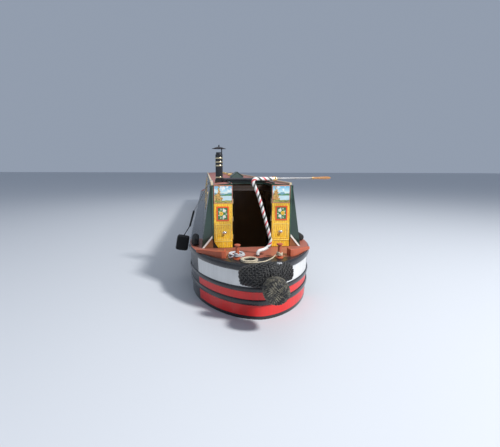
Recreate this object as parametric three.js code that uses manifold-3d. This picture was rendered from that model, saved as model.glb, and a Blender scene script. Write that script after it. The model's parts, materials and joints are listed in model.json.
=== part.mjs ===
// A steel narrowboat with a round counter stern: hull, cabin, doors, steering, propeller and deck gear.
// Millimetres, +Z up, +Y towards the bow, +X to starboard. Z = 0 is the underside of the base plate.
import * as THREE from "three";
import { mergeVertices } from "three/addons/utils/BufferGeometryUtils.js";
import Module from "manifold-3d";

const wasm = await Module();
wasm.setup();

// Driving dimensions
const LENGTH = 17400;          // hull, counter tip to stem
const HALF_BEAM = 1040;        // half of the 2080 beam at the gunwale
const DECK_Z = 1420;           // counter deck and gunwale
const WATER_Z = 600;           // waterline, and so the draught
const BASE_T = 12;             // base plate
const SHELL = 10;              // hull plate
const DECK_T = 8;              // gunwale and deck plate
const BATTER = 0.045;          // the hull side leans in by this much for each millimetre down
const COUNTER_L = 1490;        // counter tip to the full beam
const COUNTER_N = 1.75;        // exponent of the counter's rounded plan
const COUNTER_Z = 570;         // underside of the counter, just below the water
const POST_Y = 1560;           // stern post, ahead of the counter's tip
const SWIM_L = 2950;           // length of the swim that narrows to the post
const BOW_Y = 14970;           // where the deck line starts to narrow towards the stem
const BOW_RISE = 230;          // rise of the deck line at the stem
const GAP = 0.4;               // between parts that bear on each other

const BULK_Y = 1045;           // after face of the rear bulkhead
const CABIN_FRONT = 14950;     // forward face of the front bulkhead
const WALL = 50;               // cabin walls with their lining
const CABIN_W0 = 834;          // half width of the cabin at the gunwale
const CABIN_W1 = 680;          // half width of the cabin at the roof
const EAVES_Z = 2440;          // roof edge
const CAMBER = 45;             // rise of the roof's middle
const ROOF_T = 45;

const STOCK_Y = 420;           // rudder stock
const TILLER_REST = -70;       // degrees that the tiller is put over to starboard
const SHAFT_Z = 300;           // propeller shaft
const PROP_Y = 1290;         // propeller's hub

const DOOR_HALF = 318;         // half width of the rear doorway
const HATCH_L = 770;           // sliding hatch
const HATCH_OPEN = 690;        // how far it is pushed forward
const PIGEON_Y = 3900;         // middle of the vent box on the roof
const CHIMNEY = { x: -503, y: 1850, r: 66, height: 540 };

// Distance ahead of the counter's tip, as a Y coordinate of the boat
const Y = (ahead) => ahead - LENGTH / 2;

const clamp = (v, a = 0, b = 1) => Math.min(b, Math.max(a, v));
const lerp = (a, b, t) => a + (b - a) * t;

// Materials
const paint = (color, roughness = 0.35) =>
  new THREE.MeshStandardMaterial({ color, roughness, metalness: 0 });
const metal = (color, roughness = 0.35) =>
  new THREE.MeshStandardMaterial({ color, roughness, metalness: 1 });
const MAT = {
  black: paint(0x17191c, 0.3), red: paint(0xa8533f, 0.6), green: paint(0x24402f, 0.3),
    scumble: paint(0xd49a26, 0.4),
  roof: paint(0x9a4a3c, 0.6), cream: paint(0xe8dcc0, 0.5), grey: paint(0x3b4046, 0.5),
    striped: paint(0xe9e6de, 0.35),
  brass: metal(0xc9a04a, 0.25), steel: metal(0xb9bcc0, 0.3), bronze: metal(0x9a6a3a, 0.4),
    wood: paint(0xb07a42, 0.5),
  engine: paint(0x2f6a4a, 0.5), rope: paint(0x26262a, 0.95), line: paint(0xded3b8, 0.95),
  glass: new THREE.MeshStandardMaterial({ color: 0xbcd0d4, roughness: 0.08, metalness: 0,
    transparent: true, opacity: 0.4 }),
};

const group = new THREE.Group();
group.name = "narrowboat";
const add = (name, geometry, material) => {
  const mesh = new THREE.Mesh(geometry, material);
  mesh.name = name;
  group.add(mesh);
  return mesh;
};

// Solids
function solid(geometry) {
  const g = geometry.clone();
  g.deleteAttribute("normal");
  g.deleteAttribute("uv");
  const m = mergeVertices(g, 1e-4);
  return new wasm.Manifold(new wasm.Mesh({
    numProp: 3,
    vertProperties: new Float32Array(m.attributes.position.array),
    triVerts: new Uint32Array(m.index.array),
  }));
}

function geometryOf(body) {
  const mesh = body.getMesh();
  const g = new THREE.BufferGeometry();
  g.setAttribute("position", new THREE.BufferAttribute(new Float32Array(mesh.vertProperties), 3));
  g.setIndex(new THREE.BufferAttribute(new Uint32Array(mesh.triVerts), 1));
  g.computeVertexNormals();
  return g;
}

const union = (...gs) => geometryOf(gs.map((g) => (g.isBufferGeometry ? solid(g) : g))
  .reduce((a, b) => a.add(b)));
const cut = (g, ...tools) => geometryOf(tools.reduce((a, t) => a.subtract(solid(t)), solid(g)));

const box = (x0, x1, y0, y1, z0, z1) =>
  new THREE.BoxGeometry(x1 - x0, y1 - y0, z1 - z0).translate((x0 + x1) / 2, (y0 + y1) / 2, (z0 + z1) / 2);

// A closed polygon [[u, v], ...] extruded from a to b along one axis
function prism(poly, axis, a, b) {
  const shape = new THREE.Shape(poly.map(([u, v]) => new THREE.Vector2(u, v)));
  const g = new THREE.ExtrudeGeometry(shape, { depth: b - a, bevelEnabled: false, steps: 1 });
  const m = new THREE.Matrix4();
  if (axis === "z") m.makeTranslation(0, 0, a);
  if (axis === "y") m.set(1, 0, 0, 0, 0, 0, -1, b, 0, 1, 0, 0, 0, 0, 0, 1);
  if (axis === "x") m.set(0, 0, 1, a, 1, 0, 0, 0, 0, 1, 0, 0, 0, 0, 0, 1);
  return g.applyMatrix4(m);
}

// A profile [[radius, height], ...] turned about an axis; it starts and ends on the axis, or closes on
// itself
function turned(profile, axis, segments = 24) {
  const g = new THREE.LatheGeometry(profile.map(([r, h]) => new THREE.Vector2(r, h)), segments);
  if (axis === "z") g.rotateX(Math.PI / 2);
  if (axis === "x") g.rotateZ(-Math.PI / 2);
  return g;
}

const rod = (axis, r, a, b, segments = 24) => turned([[0, a], [r, a], [r, b], [0, b]], axis, segments);
const tube = (axis, r, ri, a, b, segments = 24) => turned([[ri, a], [r, a], [r, b], [ri, b], [ri, a]],
  axis, segments);

// Rings of points, the same count in each, bottom ring first and counter-clockwise from above. With strip
// caps, the
// ring is a starboard half followed by its mirror image, and each cap follows the sheer of the ring.
function loft(rings) {
  const n = rings[0].length;
  const half = (n - 1) / 2;
  const position = rings.flat(2);
  const index = [];
  for (let k = 0; k < rings.length - 1; k++) {
    for (let i = 0; i < n; i++) {
      const a = k * n + i, b = k * n + ((i + 1) % n);
      index.push(a, b, b + n, a, b + n, a + n);
    }
  }
  for (const [base, up] of [[0, false], [(rings.length - 1) * n, true]]) {
    for (let i = 0; i < half; i++) {
      const s0 = base + i, s1 = base + i + 1;
      const p0 = base + (i === 0 ? 0 : n - i), p1 = base + n - i - 1;
      const faces = i === 0 ? [[s0, s1, p1]] : [[s0, s1, p1], [s0, p1, p0]];
      for (const [a, b, c] of faces) index.push(...(up ? [a, b, c] : [a, c, b]));
    }
  }
  const g = new THREE.BufferGeometry();
  g.setAttribute("position", new THREE.BufferAttribute(new Float32Array(position), 3));
  g.setIndex(index);
  g.computeVertexNormals();
  return g;
}

// A ring of points carried along a path, with flat ends: ring(i) gives the section's points at station i
function sweep(count, ring, closed = false) {
  const rings = Array.from({ length: count }, (_, i) => ring(i));
  const n = rings[0].length;
  const index = [];
  const last = closed ? count : count - 1;
  for (let k = 0; k < last; k++) {
    for (let i = 0; i < n; i++) {
      const a = k * n + i, b = k * n + ((i + 1) % n);
      const c = ((k + 1) % count) * n + i, d = ((k + 1) % count) * n + ((i + 1) % n);
      index.push(a, b, d, a, d, c);
    }
  }
  if (!closed) {
    for (let i = 1; i < n - 1; i++) {
      index.push(0, i + 1, i);
      const e = (count - 1) * n;
      index.push(e, e + i, e + i + 1);
    }
  }
  const g = new THREE.BufferGeometry();
  g.setAttribute("position", new THREE.BufferAttribute(new Float32Array(rings.flat(2)), 3));
  g.setIndex(index);
  g.computeVertexNormals();
  return g;
}

// A round bar of one radius along a smooth curve through a few points
function pipe(points, r, steps, segments = 14) {
  const section = new THREE.Shape(Array.from({ length: segments }, (_, k) => {
    const a = (2 * Math.PI * k) / segments;
    return new THREE.Vector2(r * Math.cos(a), r * Math.sin(a));
  }));
  const extrudePath = new THREE.CatmullRomCurve3(points.map((q) => new THREE.Vector3(...q)), false,
    "centripetal");
  return new THREE.ExtrudeGeometry(section, { steps, bevelEnabled: false, extrudePath });
}

// A soft bar whose radius changes along a level list of points, flattened from the side by a factor
function sausage(points, radius, segments = 14, flat = 1) {
  const p = points.map((q) => new THREE.Vector3(...q));
  const tangents = p.map((q, i) =>
    new THREE.Vector3().subVectors(p[Math.min(i + 1, p.length - 1)], p[Math.max(i - 1, 0)]).normalize());
  let side = new THREE.Vector3(0.31, 0.17, 0.93).cross(tangents[0]).normalize();
  return sweep(p.length, (i) => {
    const t = tangents[i];
    side = side.clone().addScaledVector(t, -side.dot(t)).normalize();
    const up = new THREE.Vector3().crossVectors(t, side);
    const r = typeof radius === "function" ? radius(i / (p.length - 1)) : radius;
    return Array.from({ length: segments }, (_, k) => {
      const a = (2 * Math.PI * k) / segments;
      return [
        p[i].x + r * flat * (side.x * Math.cos(a) + up.x * Math.sin(a)),
        p[i].y + r * flat * (side.y * Math.cos(a) + up.y * Math.sin(a)),
        p[i].z + r * (side.z * Math.cos(a) + up.z * Math.sin(a)),
      ];
    });
  });
}

// Hull lines
const STERN_STEPS = 20, BOW_STEPS = 12;
const sheer = (ahead) => DECK_Z + BOW_RISE * Math.pow(clamp((ahead - BOW_Y) / (LENGTH - 30 - BOW_Y)), 1.7);

// Half breadths from the middle of the stern to the stem, as [x, distance ahead], at one height
function halfPlan(z, off, lower) {
  const lean = BATTER * Math.max(0, DECK_Z - z);
  const b = HALF_BEAM - lean - off;
  const pts = [];
  for (let i = 0; i <= STERN_STEPS; i++) {
    if (lower) {
      const s = Math.max(0, i - 1) / (STERN_STEPS - 1);
      const w = 45 - off + (b - 45 + off) * Math.pow(Math.sin((s * Math.PI) / 2), 2);
      pts.push([i === 0 ? 0 : w, POST_Y + off + s * SWIM_L]);
    } else {
      const a = (i / STERN_STEPS) * (Math.PI / 2);
      const tip = lean + off;
      pts.push([b * Math.pow(Math.sin(a), 2 / COUNTER_N),
        tip + (COUNTER_L - tip) * (1 - Math.pow(Math.cos(a), 2 / COUNTER_N))]);
    }
  }
  const q = clamp(z / DECK_Z);
  const y0 = lerp(14150, BOW_Y, Math.pow(q, 0.6));
  const y1 = 16880 + 500 * Math.sin((clamp(z / 1500) * Math.PI) / 2) - 8 * off;
  const stem = 25 - 2 * off;
  for (let i = 0; i <= BOW_STEPS; i++) {
    const s = i / BOW_STEPS;
    const full = 1 - Math.pow(s, 2.1), fine = (1 + Math.cos(Math.PI * s)) / 2;
    pts.push([stem + (b - stem) * lerp(fine, full, q), lerp(y0, y1, s)]);
  }
  return pts;
}

// The closed waterline at a fraction of the height from z0 to z1, or to the sheer line less a drop
function waterline(f, off, z0, { lower = false, z1 = null, drop = 0 } = {}) {
  const starboard = halfPlan(DECK_Z, 0, lower).map(([, nominal], i) => {
    const top = z1 === null ? sheer(nominal) - drop : z1;
    const z = z0 + f * (top - z0);
    const [x, ahead] = halfPlan(z, off, lower)[i];
    return [x, Y(ahead), z];
  });
  const port = starboard.slice(1).reverse().map(([x, y, z]) => [-x, y, z]);
  return [...starboard, ...port];
}

// The hull's body: the swim and bottom up to the counter's underside, then the counter and sides up to the
// sheer line
function hullBody(off, bottom, step, drop = 0) {
  const below = [0, 0.3, 0.65, 1].map((f) => waterline(f, off, bottom, { lower: true, z1: step - 10 }));
  const above = [0, 0.2, 0.4, 0.6, 0.8, 1].map((f) => waterline(f, off, step, { drop }));
  return loft([...below, ...above]);
}

// Half width of the deck at a distance ahead of the counter's tip
function deckHalf(ahead) {
  const plan = halfPlan(sheer(ahead), 0, false);
  for (let i = 1; i < plan.length; i++) {
    if (plan[i][1] >= ahead) {
      const t = (ahead - plan[i - 1][1]) / (plan[i][1] - plan[i - 1][1] || 1);
      return lerp(plan[i - 1][0], plan[i][0], t);
    }
  }
  return 0;
}

// Opening in the gunwale plate for the cabin and the front well
const WELL_FORE = 16100, WELL_Z = 1000, SIDE_DECK = 210, OPEN_HALF = 794;
const wellHalf = (ahead) => Math.min(OPEN_HALF, deckHalf(ahead) - SIDE_DECK);
function openingPlan() {
  const side = [[OPEN_HALF, Y(BULK_Y - GAP)]];
  for (let i = 0; i <= 6; i++) {
    const ahead = lerp(CABIN_FRONT, WELL_FORE, i / 6);
    side.push([wellHalf(ahead), Y(ahead)]);
  }
  return [...side, ...side.slice().reverse().map(([x, y]) => [-x, y])];
}

// Hull shell with gunwales, counter, swim and stem
const LOCKER = { y0: 16280, y1: 16760, half: 250 };
let shell = solid(hullBody(0, BASE_T + GAP, COUNTER_Z))
  .subtract(solid(hullBody(SHELL, -5, COUNTER_Z + 12, DECK_T)));
shell = shell.subtract(solid(prism(openingPlan(), "z", 1300, 1900)));
// Deck plate of the stem, laid station by station along the sheer
const STEM_DECK = Array.from({ length: 18 }, (_, i) => lerp(16590, 17366, i / 17));
const stemStrip = (lift, depth) => [...STEM_DECK.map((a) => [Y(a), sheer(a) + lift]),
  ...STEM_DECK.slice().reverse().map((a) => [Y(a), sheer(a) - depth])];
shell = shell.add(solid(prism(stemStrip(0, DECK_T), "x", -700, 700))
  .intersect(solid(hullBody(3, BASE_T + GAP, COUNTER_Z))));
shell = shell.subtract(solid(box(-LOCKER.half, LOCKER.half, Y(LOCKER.y0), Y(LOCKER.y1), 1300, 1900)));
const rudderTube = union(rod("z", 40, COUNTER_Z + 2, DECK_Z + 14), rod("z", 108, DECK_Z - 3, DECK_Z + 10));
shell = shell.add(solid(rudderTube.translate(0, Y(STOCK_Y), 0)));
shell = shell.subtract(solid(rod("z", 31, 400, 1500).translate(0, Y(STOCK_Y), 0)));
shell = shell.subtract(solid(rod("y", 46, 0, 500).translate(0, Y(POST_Y - 60), SHAFT_Z)));
add("hull_shell", geometryOf(shell), MAT.black);

// Base plate and skeg
const basePlan = waterline(0, -20, BASE_T, { lower: true, z1: 500 }).map(([x, y]) => [x, y]);
add("base_plate", cut(union(prism(basePlan, "z", 0, BASE_T), box(-32, 32, Y(270), Y(POST_Y - 2), 0, 34)),
  rod("z", 27, 14, 60).translate(0, Y(STOCK_Y), 0)), MAT.black);

// Guards: half-round bars that follow the hull's plan at one height
function guard(zMid, tall, proud, aheadEnd, atHull = hullOuter) {
  const half = halfPlan(zMid, 0, false).filter(([, ahead]) => ahead <= aheadEnd);
  const last = half[half.length - 1];
  if (last[1] < aheadEnd - 1) half.push([last[0], aheadEnd]);
  const starboard = half.map(([x, ahead]) => [x, Y(ahead)]);
  const line = [...starboard.slice(1).reverse().map(([x, y]) => [-x, y]), ...starboard];
  const path = line.map(([x, y]) => new THREE.Vector2(x, y));
  const body = sweep(path.length, (i) => {
    const a = path[Math.max(0, i - 1)], b = path[Math.min(path.length - 1, i + 1)];
    const t = new THREE.Vector2().subVectors(b, a).normalize();
    const n = new THREE.Vector2(t.y, -t.x);
    const profile = [[-30, -tall / 2], [0, -tall / 2], [proud * 0.75, -tall * 0.36], [proud, -tall * 0.12],
      [proud, tall * 0.12], [proud * 0.75, tall * 0.36], [0, tall / 2], [-30, tall / 2]].reverse();
    return profile.map(([u, v]) => [path[i].x + n.x * u, path[i].y + n.y * u, zMid + v]);
  });
  return geometryOf(solid(body).subtract(atHull));
}
const hullOuter = solid(hullBody(-2 * GAP, BASE_T, COUNTER_Z));
add("guard_top", guard(DECK_Z - 52, 100, 26, BOW_Y), MAT.black);
add("guard_middle", guard(WATER_Z + 448, 76, 22, 14200), MAT.black);
add("guard_lower", guard(WATER_Z + 255, 88, 22, 2300), MAT.black);

// Cants: planks on edge that run in from the deck's edge, higher towards their rounded inner ends
const CANT = { t: 34, edge: [905, 800], corner: [486, 385], turn: [486, 520], low: 45, high: 112 };
function cant(side) {
  const [ex, ey] = CANT.edge, [cx, cy] = CANT.corner;
  const run = [[ex, ey], [ex - 130, ey - 130], [cx + 130, cy + 82], [cx + 40, cy + 8], [cx + 12, cy + 4],
    [cx, cy + 22], CANT.turn];
  const path = run.map(([x, ahead]) => new THREE.Vector2(side * x, Y(ahead)));
  return sweep(path.length, (i) => {
    const t = new THREE.Vector2().subVectors(path[Math.min(i + 1, path.length - 1)],
      path[Math.max(i - 1, 0)]).normalize();
    const n = new THREE.Vector2(-t.y, t.x).multiplyScalar(side * CANT.t / 2);
    const top = lerp(CANT.low, CANT.high, clamp((ex - Math.abs(path[i].x)) / (ex - cx)));
    const at = (k, z) => [path[i].x + k * n.x, path[i].y + k * n.y, DECK_Z + z];
    const ring = [at(-1, GAP), at(1, GAP), at(1, top - 6), at(0.7, top), at(-0.7, top), at(-1, top - 6)];
    return side < 0 ? ring.reverse() : ring;
  });
}
add("cant_port", cant(-1), MAT.red);
add("cant_starboard", cant(1), MAT.red);

// Dollies: mooring posts with flanged heads
const DOLLY = { x: 312, y: 325 };
function dolly(x) {
  return turned([[0, 0], [58, 0], [58, 10], [30, 14], [27, 150], [27, 186], [44, 196], [46, 212],
    [34, 220], [0, 222]],
    "z", 20).translate(x, Y(DOLLY.y), DECK_Z + GAP);
}
add("dolly_port", dolly(-DOLLY.x), MAT.red);
add("dolly_starboard", dolly(DOLLY.x), MAT.red);

// Cabin
const roofZ = (x) => EAVES_Z + CAMBER * (1 - Math.pow(x / 725, 2));
const sideX = (z) => lerp(CABIN_W0, CABIN_W1, (z - DECK_Z) / (EAVES_Z - DECK_Z));
const arc = (steps, half, drop) => Array.from({ length: steps + 1 }, (_, i) => {
  const x = lerp(half, -half, i / steps);
  return [x, roofZ(x) - drop];
});
const sideTop = roofZ(CABIN_W1 + 8) - ROOF_T - GAP;

// A bulkhead across the cabin, with a foot that goes down through the opening in the gunwale plate
const bulkhead = (foot, y0, y1) => prism([[-OPEN_HALF + 2, foot], [OPEN_HALF - 2, foot],
  [OPEN_HALF - 2, DECK_Z + GAP],
  [CABIN_W0 - 2, DECK_Z + GAP], ...arc(12, sideX(sideTop) - 3, ROOF_T + GAP), [-CABIN_W0 + 2, DECK_Z + GAP],
  [-OPEN_HALF + 2, DECK_Z + GAP]], "y", y0, y1);

// Rear bulkhead, whose doorway is open at the top to the sliding hatch
const SILL_Z = DECK_Z - 6;
add("rear_bulkhead", cut(bulkhead(DECK_Z - 60, Y(BULK_Y), Y(BULK_Y + WALL)),
  box(-DOOR_HALF, DOOR_HALF, Y(BULK_Y - 20), Y(BULK_Y + WALL + 20), SILL_Z, 2700)), MAT.green);

// Front bulkhead, which goes down to the front well
const FRONT_HALF = 290, FRONT_SILL = WELL_Z + 60, FRONT_TOP = 2310;
add("front_bulkhead", cut(bulkhead(WELL_Z, Y(CABIN_FRONT - WALL), Y(CABIN_FRONT)),
  box(-FRONT_HALF, FRONT_HALF, Y(CABIN_FRONT - WALL - 20), Y(CABIN_FRONT + 20), FRONT_SILL, FRONT_TOP)),
    MAT.green);

// Cabin sides, with holes for the windows and portholes
const WINDOWS = [["window_1", 5400], ["window_2", 8600], ["window_3", 11800]];
const PORTHOLES = [["porthole", 2600]];
const WIN = { w: 1000, h: 500, r: 70, z: 2030 };
const PORT_R = 165, PORT_Z = 2060;
const leanIn = Math.atan2(CABIN_W0 - CABIN_W1, EAVES_Z - DECK_Z);

// A flat shape on the cabin side: u runs forward, v up the side; it is extruded from depth a to b along
// the outward normal
function onSide(side, shape, ahead, z, a, b) {
  const g = new THREE.ExtrudeGeometry(shape, { depth: b - a, bevelEnabled: false, curveSegments: 6 });
  const out = new THREE.Vector3(side * Math.cos(leanIn), 0, Math.sin(leanIn));
  const up = new THREE.Vector3(-side * Math.sin(leanIn), 0, Math.cos(leanIn));
  const along = new THREE.Vector3().crossVectors(up, out);
  const origin = new THREE.Vector3(side * sideX(z), Y(ahead), z).addScaledVector(out, a);
  return g.applyMatrix4(new THREE.Matrix4().makeBasis(along, up, out).setPosition(origin));
}
function roundedRect(w, h, r) {
  const s = new THREE.Shape();
  s.moveTo(-w / 2 + r, -h / 2).lineTo(w / 2 - r, -h / 2);
  s.absarc(w / 2 - r, -h / 2 + r, r, -Math.PI / 2, 0, false);
  s.lineTo(w / 2, h / 2 - r);
  s.absarc(w / 2 - r, h / 2 - r, r, 0, Math.PI / 2, false);
  s.lineTo(-w / 2 + r, h / 2);
  s.absarc(-w / 2 + r, h / 2 - r, r, Math.PI / 2, Math.PI, false);
  s.lineTo(-w / 2, -h / 2 + r);
  s.absarc(-w / 2 + r, -h / 2 + r, r, Math.PI, 1.5 * Math.PI, false);
  return s;
}
function disc(r) {
  const s = new THREE.Shape();
  s.absarc(0, 0, r, 0, 2 * Math.PI, false);
  return s;
}
for (const [side, word] of [[-1, "port"], [1, "starboard"]]) {
  const poly = [[CABIN_W0, DECK_Z + GAP], [sideX(sideTop), sideTop], [sideX(sideTop) - WALL, sideTop],
    [CABIN_W0 - WALL, DECK_Z + GAP]].map(([x, z]) => [side * x, z]);
  if (side > 0) poly.reverse();
  let wall = solid(prism(poly, "y", Y(BULK_Y + WALL + GAP), Y(CABIN_FRONT - WALL - GAP)));
  for (const [name, ahead] of WINDOWS) {
    wall = wall.subtract(solid(onSide(side, roundedRect(WIN.w, WIN.h, WIN.r), ahead, WIN.z, -90, 30)));
    add(`${name}_${word}`, onSide(side, roundedRect(WIN.w - 2, WIN.h - 2, WIN.r), ahead, WIN.z, -28, -20),
      MAT.glass);
  }
  for (const [name, ahead] of PORTHOLES) {
    wall = wall.subtract(solid(onSide(side, disc(PORT_R), ahead, PORT_Z, -90, 30)));
    add(`${name}_${word}`, onSide(side, disc(PORT_R - 1), ahead, PORT_Z, -28, -20), MAT.glass);
  }
  add(`cabin_side_${word}`, geometryOf(wall), MAT.green);
}

// Roof with the hatchway, open at its after end, and the hole under the vent box
const HATCH_FORE = BULK_Y + HATCH_L - 60;
const PIGEON = { half: 140, len: 460, ridge: 110, t: 18 };
const roofBody = prism([...arc(16, CABIN_W1 + 8, 0), ...arc(16, CABIN_W1 + 8, ROOF_T).reverse()], "y",
  Y(BULK_Y), Y(CABIN_FRONT + 25));
add("roof", cut(roofBody,
  box(-DOOR_HALF, DOOR_HALF, Y(BULK_Y - 60), Y(HATCH_FORE), 2200, 2700),
  box(-PIGEON.half + 60, PIGEON.half - 60, Y(PIGEON_Y - PIGEON.len / 2 + 60),
    Y(PIGEON_Y + PIGEON.len / 2 - 60), 2200, 2700)),
  MAT.roof);
const overRoof = solid(prism([...arc(16, 900, -GAP), [-900, 2200], [900, 2200]], "y", Y(-500), Y(17000)));
const seated = (g) => geometryOf(solid(g).subtract(overRoof));

// Handrails
for (const [side, word] of [[-1, "port"], [1, "starboard"]]) {
  const [a, b] = side < 0 ? [-668, -632] : [632, 668];
  add(`handrail_${word}`, seated(box(a, b, Y(BULK_Y + 40), Y(CABIN_FRONT - 40), 2400, EAVES_Z + 48)),
    MAT.cream);
}

// Hatch rails and sliding hatch
const RAIL_TOP = 2497, HATCH_HALF = 412;
const railBox = (x0, x1, y0, y1) => box(x0, x1, Y(y0), Y(y1), 2440, RAIL_TOP);
add("hatch_rails", seated(union(railBox(-372, -348, BULK_Y, BULK_Y + HATCH_L + HATCH_OPEN + 40),
  railBox(348, 372, BULK_Y, BULK_Y + HATCH_L + HATCH_OPEN + 40),
  railBox(-360, 360, HATCH_FORE + 6, HATCH_FORE + 34))), MAT.green);
function hatch() {
  const top = (x) => 2524 + 6 * (1 - Math.pow(x / HATCH_HALF, 2));
  const xs = [HATCH_HALF, 300, 150, 0, -150, -300, -HATCH_HALF];
  const skirt = 2480;
  const poly = [...xs.map((x) => [x, top(x)]), [-HATCH_HALF, skirt], [24 - HATCH_HALF, skirt],
    [24 - HATCH_HALF, RAIL_TOP + 7],
    [HATCH_HALF - 24, RAIL_TOP + 7], [HATCH_HALF - 24, skirt], [HATCH_HALF, skirt]];
  return prism(poly, "y", Y(BULK_Y - 20 + HATCH_OPEN), Y(BULK_Y - 20 + HATCH_L + HATCH_OPEN));
}
add("sliding_hatch", hatch(), MAT.black);

// Rear doors, open and folded back against the bulkhead
const DOOR = { gap: 8, w: 300, t: 26, z0: DECK_Z + 8, z1: 2448, back: 8 };
const DOOR_AXIS_Y = BULK_Y - DOOR.back;
function rearDoor(side) {
  const a = DOOR_HALF + DOOR.gap, b = a + DOOR.w;
  const chamfer = side < 0 ? 65 : 0;
  const poly = [[a, DOOR.z0], [b - chamfer, DOOR.z0], ...(chamfer ? [[b, DOOR.z0 + 95]] : []),
    [b, DOOR.z1], [a, DOOR.z1]]
    .map(([x, z]) => [side * x, z]);
  if (side < 0) poly.reverse();
  return prism(poly, "y", Y(DOOR_AXIS_Y - DOOR.t + 2), Y(DOOR_AXIS_Y + 2));
}
add("rear_door_port", rearDoor(-1), MAT.scumble);
add("rear_door_starboard", rearDoor(1), MAT.scumble);

// Front doors, closed, hinged on the well side of the bulkhead
const FRONT_AXIS_Y = CABIN_FRONT + 8;
function frontDoor(side) {
  const a = side * (FRONT_HALF - 8), b = side * 4;
  return box(Math.min(a, b), Math.max(a, b), Y(FRONT_AXIS_Y - 26), Y(FRONT_AXIS_Y + 2), FRONT_SILL + 8,
    FRONT_TOP - 8);
}
add("front_door_port", frontDoor(-1), MAT.scumble);
add("front_door_starboard", frontDoor(1), MAT.scumble);

// Vent box on the roof, with two lids hinged at the ridge
const pigeonTop = roofZ(0) + 30;
const pigeonOuter = prism([[-PIGEON.half, 2440], [PIGEON.half, 2440], [PIGEON.half, pigeonTop],
  [0, pigeonTop + PIGEON.ridge],
  [-PIGEON.half, pigeonTop]], "y", Y(PIGEON_Y - PIGEON.len / 2), Y(PIGEON_Y + PIGEON.len / 2));
const pi = PIGEON.half - PIGEON.t;
const pigeonRing = cut(pigeonOuter, box(-pi, pi, Y(PIGEON_Y - PIGEON.len / 2 + PIGEON.t),
  Y(PIGEON_Y + PIGEON.len / 2 - PIGEON.t), 2400, 2900));
const ridgeBar = box(-18, 18, Y(PIGEON_Y - PIGEON.len / 2 + 2), Y(PIGEON_Y + PIGEON.len / 2 - 2),
  pigeonTop + 14,
  pigeonTop + PIGEON.ridge - 16);
add("vent_box", seated(union(pigeonRing, ridgeBar)), MAT.green);
function ventLid(side) {
  const slope = PIGEON.ridge / PIGEON.half;
  const x0 = 8, x1 = PIGEON.half + 14;
  const z = (x) => pigeonTop + PIGEON.ridge - slope * x;
  const poly = [[x0, z(x0) + 6], [x1, z(x1) + 6], [x1, z(x1) + 18], [x0, z(x0) + 18]]
    .map(([x, h]) => [side * x, h]);
  if (side < 0) poly.reverse();
  return prism(poly, "y", Y(PIGEON_Y - PIGEON.len / 2 - 10), Y(PIGEON_Y + PIGEON.len / 2 + 10));
}
add("vent_lid_port", ventLid(-1), MAT.green);
add("vent_lid_starboard", ventLid(1), MAT.green);

// Chimney: collar on the roof, tube and hat
const chimneyAt = (g) => g.translate(CHIMNEY.x, Y(CHIMNEY.y), 0);
const collarTop = roofZ(CHIMNEY.x) + 55;
const tubeTop = roofZ(CHIMNEY.x) + CHIMNEY.height;
add("chimney_collar", seated(chimneyAt(tube("z", 80, CHIMNEY.r - 10, 2400, collarTop))), MAT.brass);
const strut = (side) => box(-6, 6, side * (CHIMNEY.r - 5) - 4, side * (CHIMNEY.r - 5) + 4, tubeTop - 60,
  tubeTop + 72);
add("chimney", chimneyAt(union(tube("z", CHIMNEY.r, CHIMNEY.r - 10, collarTop + GAP, tubeTop),
  turned([[0, 62], [56, 62], [120, 44], [120, 52], [60, 84], [24, 94], [9, 104], [13, 120], [9, 132],
    [0, 136]], "z")
    .translate(0, 0, tubeTop), strut(-1), strut(1))), MAT.black);

// Mushroom vent on the roof
const VENT_Y = 8600;
add("mushroom_vent", seated(
  turned([[0, 2400], [70, 2400], [70, 2520], [95, 2520], [95, 2535], [60, 2556], [0, 2564]], "z", 20)
    .translate(0, Y(VENT_Y), 0)), MAT.brass);

// Front well, its forward bulkhead and the locker lid on the foredeck
const tubTop = (ahead) => sheer(ahead) - DECK_T - 8;
function tub(grow, z0, aft, fore, topOffset) {
  const steps = 6;
  const at = (i, top) => {
    const ahead = lerp(aft, fore, i / steps);
    const flare = top ? 0 : (80 * i) / steps;
    return [wellHalf(ahead) + grow - flare, Y(ahead), top ? tubTop(ahead) + topOffset : z0];
  };
  const ring = (top) => {
    const s = Array.from({ length: steps + 1 }, (_, i) => at(i, top));
    return [[0, s[0][1], s[0][2]], ...s, ...s.slice().reverse().map(([x, y, z]) => [-x, y, z])];
  };
  return loft([ring(false), ring(true)]);
}
let well = solid(tub(14, WELL_Z - 10, CABIN_FRONT + 6, WELL_FORE + 10, 0));
well = well.subtract(solid(tub(2, WELL_Z, CABIN_FRONT + 18, WELL_FORE, 60)));
well = well.subtract(solid(box(2 - wellHalf(CABIN_FRONT), wellHalf(CABIN_FRONT) - 2, Y(CABIN_FRONT - 10),
  Y(CABIN_FRONT + 30),
  WELL_Z + 40, 1500)));
add("front_well", geometryOf(well), MAT.red);
const lidZ = (ahead) => sheer(ahead) + 3;
function lockerLid() {
  const g = 5, y0 = LOCKER.y0 + g, y1 = LOCKER.y1 - g;
  return prism([[Y(y0), lidZ(y0) - 8], [Y(y1), lidZ(y1) - 8], [Y(y1), lidZ(y1)], [Y(y0), lidZ(y0)]], "x",
    -LOCKER.half + g, LOCKER.half - g);
}
add("locker_lid", lockerLid(), MAT.red);
add("bow_post", cut(turned([[0, -30], [50, -30], [50, 10], [30, 14], [30, 170], [70, 178], [70, 200], [30, 210],
  [0, 212]], "z", 20)
  .translate(0, Y(16950), sheer(16950) + 6), prism(stemStrip(GAP, 200), "x", -90, 90)), MAT.black);

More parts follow.
